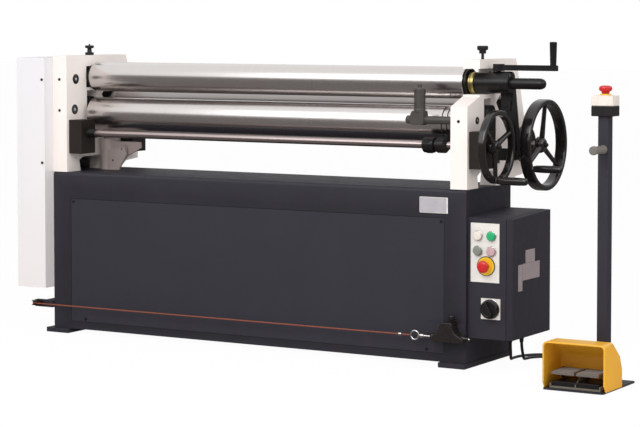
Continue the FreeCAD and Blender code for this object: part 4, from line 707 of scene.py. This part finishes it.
# -------- screws on the frames
LEFT_SCREW = (-820, 17, 1040.3)
RIGHT_SCREW = (850, 10, 1040.3)
Build().lathe("Z", LEFT_SCREW, soften(
    [(-18, 0), (-18, 5), (0, 5), (0, 16), (9.5, 17), (11, 9), (25, 8), (26.5, 16.5), (35, 17),
     (36.5, 15), (36.8, 3.4), (42, 3), (42, 0)], 1.2), 40).done(
    "left_frame_screw", "black_plastic", "screw_left", "top_screw_left")
knob = Build().lathe("Z", RIGHT_SCREW, [(-18, 0), (-18, 5), (19, 5)] + soften(
    [(19, 5), (19, 12), (30, 12), (31.5, 17)], 1.5), 36)
knob.lathe("Z", RIGHT_SCREW, soften([(31, 0), (31, 16.5), (33, 18.8), (44, 18.8), (46, 16.5),
                                     (46, 0)], 1), 72, ripple=0.9)
knob.done("right_frame_screw", "black_plastic", "screw_right", "top_screw_right")

# x and z of each cap screw, and the y of the face it sits on
CAP_SCREWS = ((-825, 951, -165), (-825, 835, -165), (847, 834, -165), (-867, 951, -218),
              (-867, 640, -218), (-763, 495, -165), (783, 495, -165), (-709, 57, -165),
              (729, 57, -165))
# centre and radius of each round plug
PLUGS = (((-792, -108, 952), 19), ((-792, -115, 838), 19), ((880, -91, 835), 13))
screws = Build()
for x, z, face in CAP_SCREWS:
    screws.lathe("Y", (x, face, z), [(-1.4, 0), (-1.4, 2.3), (-3, 2.5)] + soften(
        [(-3, 2.5), (-3, 4.6), (-1.6, 5.2), (1, 5.2)], 0.8, 2) + [(1, 0)], 24)
for centre, radius in PLUGS:
    screws.lathe("X", centre, [(1.1, 0), (1.1, radius * 0.42)] + soften(
        [(1.1, radius * 0.42), (2.2, radius * 0.5), (2.2, radius - 1.5), (0.4, radius),
         (-2, radius)], 0.6, 2) + [(-2, 0)], 40)
screws.done("machine_screws", "black_plastic", "base", "screws_and_plugs")
caps = Build()
for centre, radius in PLUGS:
    caps.lathe("X", centre, soften([(1, 0), (1, radius * 0.34), (1.7, radius * 0.3), (1.7, 0)],
                                   0.3), 6)
caps.done("plug_sockets", "label_grey", "base")


# -------- controls on the electrical box
FACE = -152  # y of the control plate
STOP = (946, FACE, 351)
SWITCH = (964, -156, 208)
HANDLE_TURN = 0.5  # radians that the main switch's handle leans
BUTTONS = ((916, 453), (966, 453), (916, 402), (966, 402))
bezels = Build()
for x, z in BUTTONS:
    bezels.lathe("Y", (x, FACE, z), soften([(0, 15.8), (0, 18.4), (-4.4, 18.2), (-6, 17),
                                            (-6, 15.8)], 0.7), 48, True)
bezels.done("bezel_rings", "chrome", "base", "button_bezels")


def button_cap(name, material, body, place, *stands_for, dome=0.4):
    """A push button's cap with a crown of the given height."""
    Build().lathe("Y", (place[0], FACE, place[1]), [(10, 0), (10, 9.8), (-5.2, 9.8)] + soften(
        [(-5.2, 15.5), (-11.5, 15.5), (-13 - dome * 0.4, 11.5), (-13 - dome, 0)], 1.8, 4), 48).done(
        name, material, body, *stands_for)


button_cap("lamp_lens", "white_plastic", "base", BUTTONS[0], dome=3.0)
button_cap("green_cap", "green_plastic", "green_button", BUTTONS[1], "button_green")
button_cap("grey_cap", "grey_green_plastic", "grey_button", BUTTONS[2], "button_grey")
button_cap("pink_cap", "pink_plastic", "red_button", BUTTONS[3], "button_red")
Build().lathe("Y", STOP, soften([(0, 11.2), (0, 31.4), (-2.4, 31.4), (-3, 30.6), (-3, 22), (-2, 20),
                                 (-2, 11.2)], 0.5), 72, True).done(
    "stop_ring_face", "yellow_plastic", "base", "stop_ring")
Build().lathe("Y", STOP, soften([(0, 30.8), (0, 33), (-3.4, 33), (-3.8, 32), (-3.2, 30.8)], 0.5),
              72, True).done("stop_ring_rim", "black_plastic", "base")


def mushroom(out, head, neck, end):
    """Outline of a mushroom head: its face at out, its radius, its neck that runs back to end."""
    return [(end, 0), (end, neck), (out + 15, neck)] + soften(
        [(out + 15, neck), (out + 14, head - 6), (out + 11.5, head - 0.5), (out + 7, head),
         (out + 2.2, head - 4), (out, head - 12), (out, 0)], 3.2, 4)


Build().lathe("Y", STOP, mushroom(out=-36, head=21, neck=10.9, end=12), 56).done(
    "stop_head", "red_plastic", "stop_button", "stop_button")
switch = Build()
switch.lathe("Y", SWITCH, [(14, 0), (14, 8), (-1, 8)] + soften(
    [(-1, 32), (-14, 31.5), (-17, 29.5), (-17.5, 25), (-16.5, 23), (-16.5, 0)], 1.4, 3), 72)
lean, rise = math.cos(HANDLE_TURN), math.sin(HANDLE_TURN)
handle = [(u * lean - v * rise + SWITCH[0], u * rise + v * lean + SWITCH[2])
          for u, v in arc((0, 19), 7, 0, 180, 10) + arc((0, -19), 7, 180, 360, 10)]
switch.prism("XZ", handle, -184, -171)
switch.done("switch_knob", "black_plastic", "main_switch", "main_switch", bevel=1.2)
Build().lathe("Y", SWITCH, soften([(0.2, 32.2), (0.2, 34.2), (-1.2, 34.2), (-1.6, 33.6),
                                   (-1.6, 32.2)], 0.3), 72, True).done(
    "switch_ring", "chrome", "base")

# the side door is a tray whose rim is folded back
door = Build()
rows = []
for x, inset in ((1041, 5), (1018.5, 5), (1018.5, 0), (1043.5, 0)):
    rows.append([door.bm.verts.new((x, y, z)) for y, z in (
        (-150 + inset, 105 + inset), (150 - inset, 105 + inset), (150 - inset, 524 - inset),
        (-150 + inset, 512 - inset))])
for low, high in zip(rows, rows[1:]):
    door.join(low, high)
door.bm.faces.new(rows[0])
door.bm.faces.new(rows[-1])
door.done("control_door", "dark_paint", "door", "box_door", bevel=2.0)
for name, low, high in (("door_plate_upper", (1042.5, -52, 357), (1044.4, 22, 401)),
                        ("door_plate_lower", (1042.5, -75, 300), (1044.4, 60, 356.4)),
                        ("door_plate_side", (1042.5, -109, 266), (1044.2, -76, 355))):
    Build().block(low, high).done(name, "door_plate", "door", bevel=0.4)

Build().block((700.5, -166.7, 523.5), (803.5, -165.8, 574.5)).done(
    "sill_label", "label_grey", "base", bevel=0.3)

# back of the cabinet: a removable sheet like the one in front, which the photograph doesn't show
Build().block((-773.5, 178, 46.5), (793.5, 182, 505.5)).done(
    "rear_sheet", "dark_paint", "base", bevel=1.0)
rear_screws = Build()
for x in (-763, 0, 783):
    for z in (57, 495):
        rear_screws.lathe("Y", (x, 182, z), soften(
            [(-1, 0), (-1, 5.2), (1.5, 5.2), (3, 4.2), (3, 2.6), (1.4, 2.4), (1.4, 0)], 0.5), 24)
rear_screws.done("rear_sheet_screws", "black_plastic", "base")


# -------- rope with its fittings
ROPE_Y, ROPE_Z = -190, 105
ROPE = (0, ROPE_Y, ROPE_Z)  # on the line of the front run and its fittings
PULLEY_X, PULLEY_Y = -926, -168
BEND = 22  # radius of the rope's line round the pulley
STRANDS = 6


def rope_path():
    """Along the front, round the corner pulley and back along the left end."""
    points = [(677.5 - 8 * k, ROPE_Y, ROPE_Z) for k in range(200)]
    points = [point for point in points if point[0] > PULLEY_X + 1]
    for k in range(9):
        angle = math.radians(270 - 90 * k / 8)
        points.append((PULLEY_X + BEND * math.cos(angle), PULLEY_Y + BEND * math.sin(angle),
                       ROPE_Z))
    side = PULLEY_X - BEND
    return points + [(side, PULLEY_Y + 8 * k, ROPE_Z) for k in range(1, 39)] + [(side, 140, ROPE_Z)]


def twisted(name, material, body, node, path, radius, lay, steps=24):
    """A rope whose strands wind round each other once in each lay."""
    work = Build()
    path = [Vector(point) for point in path]
    travelled = 0.0
    rings = []
    for k, spot in enumerate(path):
        ahead = (path[min(k + 1, len(path) - 1)] - path[max(k - 1, 0)]).normalized()
        up = Vector((0, 0, 1))
        side = up.cross(ahead)
        if k:
            travelled += (spot - path[k - 1]).length
        ring = []
        for step in range(steps):
            angle = 2 * math.pi * step / steps
            wave = math.cos(STRANDS * (angle - 2 * math.pi * travelled / lay))
            reach = radius * (0.9 + 0.1 * wave)
            ring.append(work.bm.verts.new(
                spot + (side * math.cos(angle) + up * math.sin(angle)) * reach))
        rings.append(ring)
    work.ends(rings)
    work.done(name, material, body, node, sharp=80)


twisted("pull_rope", "rope", "base", "safety_rope", rope_path(), radius=2.6, lay=48)
ring = Build()
RING_PARTS = 40
eye = [Vector((696, ROPE_Y, ROPE_Z)) + Vector((15 * math.cos(a), 0, 15 * math.sin(a)))
       for a in [2 * math.pi * k / RING_PARTS for k in range(RING_PARTS)]]
for k in range(RING_PARTS):
    ring.sweep([eye[k], eye[(k + 1) % RING_PARTS]], [3.4, 3.4], 14)
ring.lathe("X", ROPE, soften([(634, 2.3), (634, 6), (646, 6), (646, 2.3)], 1.2), 32, True)
ring.lathe("X", ROPE, soften([(714.5, 0), (714.5, 6), (718, 7.5), (728, 7.5), (734, 4), (758, 3.6),
                              (758, 0)], 1.5), 32)
ring.done("rope_hardware", "bright_steel", "base", "rope_fittings")
Build().lathe("Z", (836.5, ROPE_Y, 165), soften(
    [(-18, 0), (-18, 5), (0.5, 5), (0.5, 9.5), (4, 11), (14, 11), (18, 8.5), (18, 0)], 2.0),
    40).done("reset_knob", "black_plastic", "reset", "rope_reset")
body = Build()
body.lathe("X", ROPE, soften([(758, 0), (758, 10), (764, 13), (800, 13), (800, 0)], 2), 36)
bell = soften([(800, 92), (880, 92), (890, 99), (882, 109), (862, 119), (851, 131), (846, 158),
               (803, 158), (797, 132), (786, 121), (770, 112), (764, 101), (770, 92), (800, 92)],
              5, 3)
body.prism("XZ", bell[:-1], -212, -168)
body.lathe("X", ROPE, soften([(852, 0), (852, 13), (878, 11), (900, 6.5), (900, 0)], 2), 36)
body.done("switch_body", "switch_brown", "base", "rope_switch", bevel=2.5)
boot = Build()
for k in range(4):
    start, radius = 862 + 9 * k, 13 - 1.4 * k
    boot.lathe("X", ROPE, soften([(start, 8), (start, radius), (start + 6, radius), (start + 6, 8)],
                                 2), 32, True)
boot.done("switch_boot_ribs", "black_plastic", "base")
Build().lathe("X", ROPE, soften([(897, 0), (897, 4), (903, 4), (905, 2.5), (905, 0)], 1), 20).done(
    "switch_boot_tip", "bright_steel", "base")


# -------- foot-switch column
COLUMN_STOP = (1407, -235, 935)
Build().block((1369.5, -264.5, 868), (1444.5, -207.5, 901)).done(
    "stop_box_lower", "black_plastic", "base", "station_stop_box", bevel=2.5, slot="white_plastic")
Build().block((1369.5, -264.5, 901.2), (1444.5, -207.5, 935)).done(
    "stop_box_lid", "white_plastic", "base", bevel=3.0)
Build().lathe("Z", COLUMN_STOP, [(-26, 0), (-26, 10.9), (7, 10.9)] + soften(
    [(7, 13), (12, 13), (13.5, 18.5), (17, 21), (24, 21), (29, 18), (31, 9), (31, 0)], 3, 4),
    56).done("column_stop_head", "red_plastic", "column_stop", "station_stop_button")
Build().lathe("Z", COLUMN_STOP, soften([(0, 13.8), (0, 18), (3.5, 18), (4.5, 16.5), (4.5, 13.8)],
                                       0.8), 48, True).done(
    "column_stop_collar", "yellow_plastic", "base")
Build().lathe("Y", (1407, -252.5, 762), soften(
    [(-82.6, 0), (-82.6, 12), (-80, 14.4), (-70, 14.4), (-68, 12.6), (-4, 12.6), (-1, 14.5),
     (0, 14.5), (0, 0)], 1.2), 48).done("peg_sleeve", "peg_grey", "base")

# the guard is a hood of sheet, open in front and below, with a rolled rim
guard = Build()
guard.prism("YZ", [(-398, 24), (-398, 156), (-320, 156), (-266, 112), (-258, 94), (-258, 6),
                   (-386, 6)], 1265.5, 1480.5)
long_edges = []
for edge in guard.bm.edges:
    middle = (edge.verts[0].co + edge.verts[1].co) / 2
    along = abs(edge.verts[0].co.x - edge.verts[1].co.x)
    if along < 1 and middle.z > 60 and middle.y > -397.5:
        long_edges.append(edge)
bmesh.ops.bevel(guard.bm, geom=long_edges, offset=17, segments=6, profile=0.5, affect="EDGES")
bmesh.ops.recalc_face_normals(guard.bm, faces=guard.bm.faces)
open_faces = [face for face in guard.bm.faces if face.normal.y < -0.5 or face.normal.z < -0.5]
bmesh.ops.delete(guard.bm, geom=open_faces, context="FACES")
shell = guard.done("pedal_guard", "yellow_paint", "base", "pedal_hood", sharp=30)
wall = shell.modifiers.new("wall", "SOLIDIFY")
wall.thickness = 4 * MM
wall.offset = -1
soft_edges(shell, 1.6, 3)
rim = [(x, -396.5, z) for x, z in soften([(1268.5, 26), (1268.5, 153), (1477.5, 153), (1477.5, 26)],
                                         17, 8)]
Build().sweep(rim, [3.0] * len(rim), 14).done("guard_rim", "yellow_paint", "base")

pan = Build().block((1285.5, -387, 6), (1460.5, -271, 12.5))
pan.block((1285.5, -387, 12), (1290, -284, 22)).block((1456, -387, 12), (1460.5, -284, 22))
pan.done("pedal_pan", "light_grey", "base", "pedal_base", bevel=1.0)
inside = Build().block((1293, -379, 12), (1453, -273, 27))
for x in (1285.5, 1370, 1454.5):
    inside.prism("YZ", [(-295, 26), (-299, 40), (-295, 58), (-285, 61), (-276, 58), (-274, 26)],
                 x, x + 6)
inside.lathe("X", (0, -285, 52), [(1284, 0), (1284, 4), (1462, 4), (1462, 0)], 24)
inside.done("pedal_body", "black_plastic", "base", bevel=1.2)
Build().prism("YZ", [(-384, 12), (-384, 20), (-340, 44), (-300, 46), (-300, 12)],
              1371.2, 1374.8).done("pedal_rib", "light_grey", "base", bevel=0.8)
Build().lathe("Y", (1321, 0, 16), soften([(-260, 0), (-260, 10), (-253, 10), (-246, 6.2),
                                          (-246, 0)], 1.5), 32).done(
    "pedal_gland", "black_plastic", "base", slot="cable")


def tread(name, body, node):
    """A pedal of ribbed sheet with a turned-down front edge, on its hinge barrel."""
    low, high = (corner * 1000 for corner in (Vector(part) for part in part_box(node)))
    top = high.z
    front = low.y
    back = high.y - 8
    work = Build()
    side = [(front, top - 10), (front, top - 1.5), (front + 2, top), (back, top), (back, top - 6),
            (front + 6, top - 6), (front + 6, top - 10)]
    work.prism("YZ", side, low.x, high.x)
    for k in range(8):
        y = front + 7 + 10.5 * k
        rib = [(y, top - 0.5), (y + 1, top + 1.6), (y + 3, top + 1.6), (y + 4, top - 0.5)]
        work.prism("YZ", rib, low.x + 5, high.x - 5)
    barrel = [(low.x, 4.2), (low.x, 8), (high.x, 8), (high.x, 4.2)]
    work.lathe("X", (0, back - 6, low.z + 8), barrel, 32, True)
    work.done(name, "treadle", body, node, bevel=0.5)


tread("left_tread", "left_pedal", "pedal_left")
tread("right_tread", "right_pedal", "pedal_right")


# -------- tapered ends of the leads
relief = Build()
for x, y, z in (STOP_LEAD[0], PEDAL_LEAD[0]):
    relief.lathe("Z", (x, y, 0), soften([(72, 5.2), (72, 6.2), (84, 7.6), (91, 9.2), (91, 5.2)], 1),
                 32, True)
relief.done("lead_boots", "black_plastic", "base", slot="cable")


# -------- studio, in metres


def stage_mesh(name, material, points, faces):
    mesh = bpy.data.meshes.new(name)
    mesh.from_pydata(points, [], faces)
    thing = bpy.data.objects.new(name, mesh)
    scene.collection.objects.link(thing)
    mesh.materials.append(material)
    return thing


def camera_or_gloss(tree):
    """Light Path, and a value that is 1 for what the camera or a gloss sees."""
    path = tree.nodes.new("ShaderNodeLightPath")
    either = tree.nodes.new("ShaderNodeMath")
    either.operation = "MAXIMUM"
    tree.links.new(path.outputs["Is Camera Ray"], either.inputs[0])
    tree.links.new(path.outputs["Is Glossy Ray"], either.inputs[1])
    return path, either.outputs[0]


WHITE_SHARE = 0.965  # of the floor's look; the rest takes the object's shadow


def floor_material():
    """A pale floor that is white where no shadow falls on it."""
    g = Graph("studio_floor")
    share = g.add("Math", operation="MULTIPLY")
    g.link(camera_or_gloss(g.tree)[1], share.inputs[0])
    share.inputs[1].default_value = WHITE_SHARE
    pale = g.add("BsdfDiffuse")
    tone = g.ramp(g.noise(3.0, 3), (0.3, (0.93, 0.93, 0.93)), (0.7, (0.95, 0.95, 0.95)))
    g.link(tone, pale.inputs["Color"])
    white = g.add("Emission")
    both = g.add("MixShader")
    g.link(share.outputs[0], both.inputs[0])
    g.link(pale.outputs[0], both.inputs[1])
    g.link(white.outputs[0], both.inputs[2])
    g.link(both.outputs[0], g.tree.nodes["Material Output"].inputs["Surface"])
    return g.mat


def flag_material():
    """Dull grey card that only gloss sees, as the dark room behind a product photograph."""
    g = Graph("studio_flag")
    card = g.add("Emission")
    tone = g.ramp(g.noise(0.6, 2), (0.3, (0.17, 0.155, 0.15)), (0.7, (0.20, 0.185, 0.18)))
    g.link(tone, card.inputs["Color"])
    g.link(card.outputs[0], g.tree.nodes["Material Output"].inputs["Surface"])
    return g.mat


stage_mesh("studio_floor", floor_material(),
           [(-40, -40, 0), (40, -40, 0), (40, 40, 0), (-40, 40, 0)], [(0, 1, 2, 3)])

# the flag lies just over the floor, and its rim stands as a low wall all round
SIDES = 48
points = []
for radius, height in ((0.02, 0.003), (9.0, 0.003), (9.0, 2.9)):
    for k in range(SIDES):
        angle = 2 * math.pi * k / SIDES
        points.append((radius * math.cos(angle), radius * math.sin(angle), height))
bands = []
for row in (0, SIDES):
    for k in range(SIDES):
        after = (k + 1) % SIDES
        bands.append((row + k, row + after, row + SIDES + after, row + SIDES + k))
flag = stage_mesh("studio_flag", flag_material(), points, bands)
flag.visible_camera = False
flag.visible_diffuse = False
flag.visible_shadow = False
flag.visible_transmission = False

SECOND_GLOSS = 1.5  # a glossy depth above this is a reflection of a reflection


def studio_world():
    """White to the camera and to gloss, paler to diffuse light, dim to a second reflection."""
    world = bpy.data.worlds.new("studio_world")
    world.use_nodes = True
    tree = world.node_tree
    backdrop = tree.nodes["Background"]
    sky, dim = (tree.nodes.new("ShaderNodeBackground") for _ in range(2))
    for node, color, strength in ((backdrop, (1, 1, 1, 1), 1.0),
                                  (sky, (1.0, 0.985, 0.975, 1), 0.67),
                                  (dim, (0.20, 0.18, 0.175, 1), 1.0)):
        node.inputs["Color"].default_value = color
        node.inputs["Strength"].default_value = strength
    path, seen = camera_or_gloss(tree)
    deep = tree.nodes.new("ShaderNodeMath")
    deep.operation = "GREATER_THAN"
    deep.inputs[1].default_value = SECOND_GLOSS
    both, last = (tree.nodes.new("ShaderNodeMixShader") for _ in range(2))
    for source, socket in ((path.outputs["Glossy Depth"], deep.inputs[0]), (seen, both.inputs[0]),
                           (sky.outputs[0], both.inputs[1]), (backdrop.outputs[0], both.inputs[2]),
                           (deep.outputs[0], last.inputs[0]), (both.outputs[0], last.inputs[1]),
                           (dim.outputs[0], last.inputs[2]),
                           (last.outputs[0], tree.nodes["World Output"].inputs["Surface"])):
        tree.links.new(source, socket)
    return world


def soft_lamp(name, place, target, size, power):
    """A large area lamp that faces its target; size in metres, power in watts."""
    lamp = bpy.data.lights.new(name, "AREA")
    lamp.shape = "RECTANGLE"
    lamp.size, lamp.size_y = size
    lamp.energy = power
    thing = bpy.data.objects.new(name, lamp)
    scene.collection.objects.link(thing)
    thing.location = place
    thing.rotation_euler = (Vector(target) - Vector(place)).to_track_quat("-Z", "Y").to_euler()


scene.world = studio_world()
soft_lamp("key_lamp", (-0.9, -4.6, 3.6), target=(0, 0, 0.6), size=(5.0, 3.5), power=68)
soft_lamp("side_lamp", (4.4, -0.6, 3.0), target=(0.4, 0, 0.5), size=(4.0, 3.0), power=52)
soft_lamp("left_fill", (0.9, -2.6, 2.6), target=(-0.87, -0.1, 0.7), size=(1.6, 1.6), power=42)
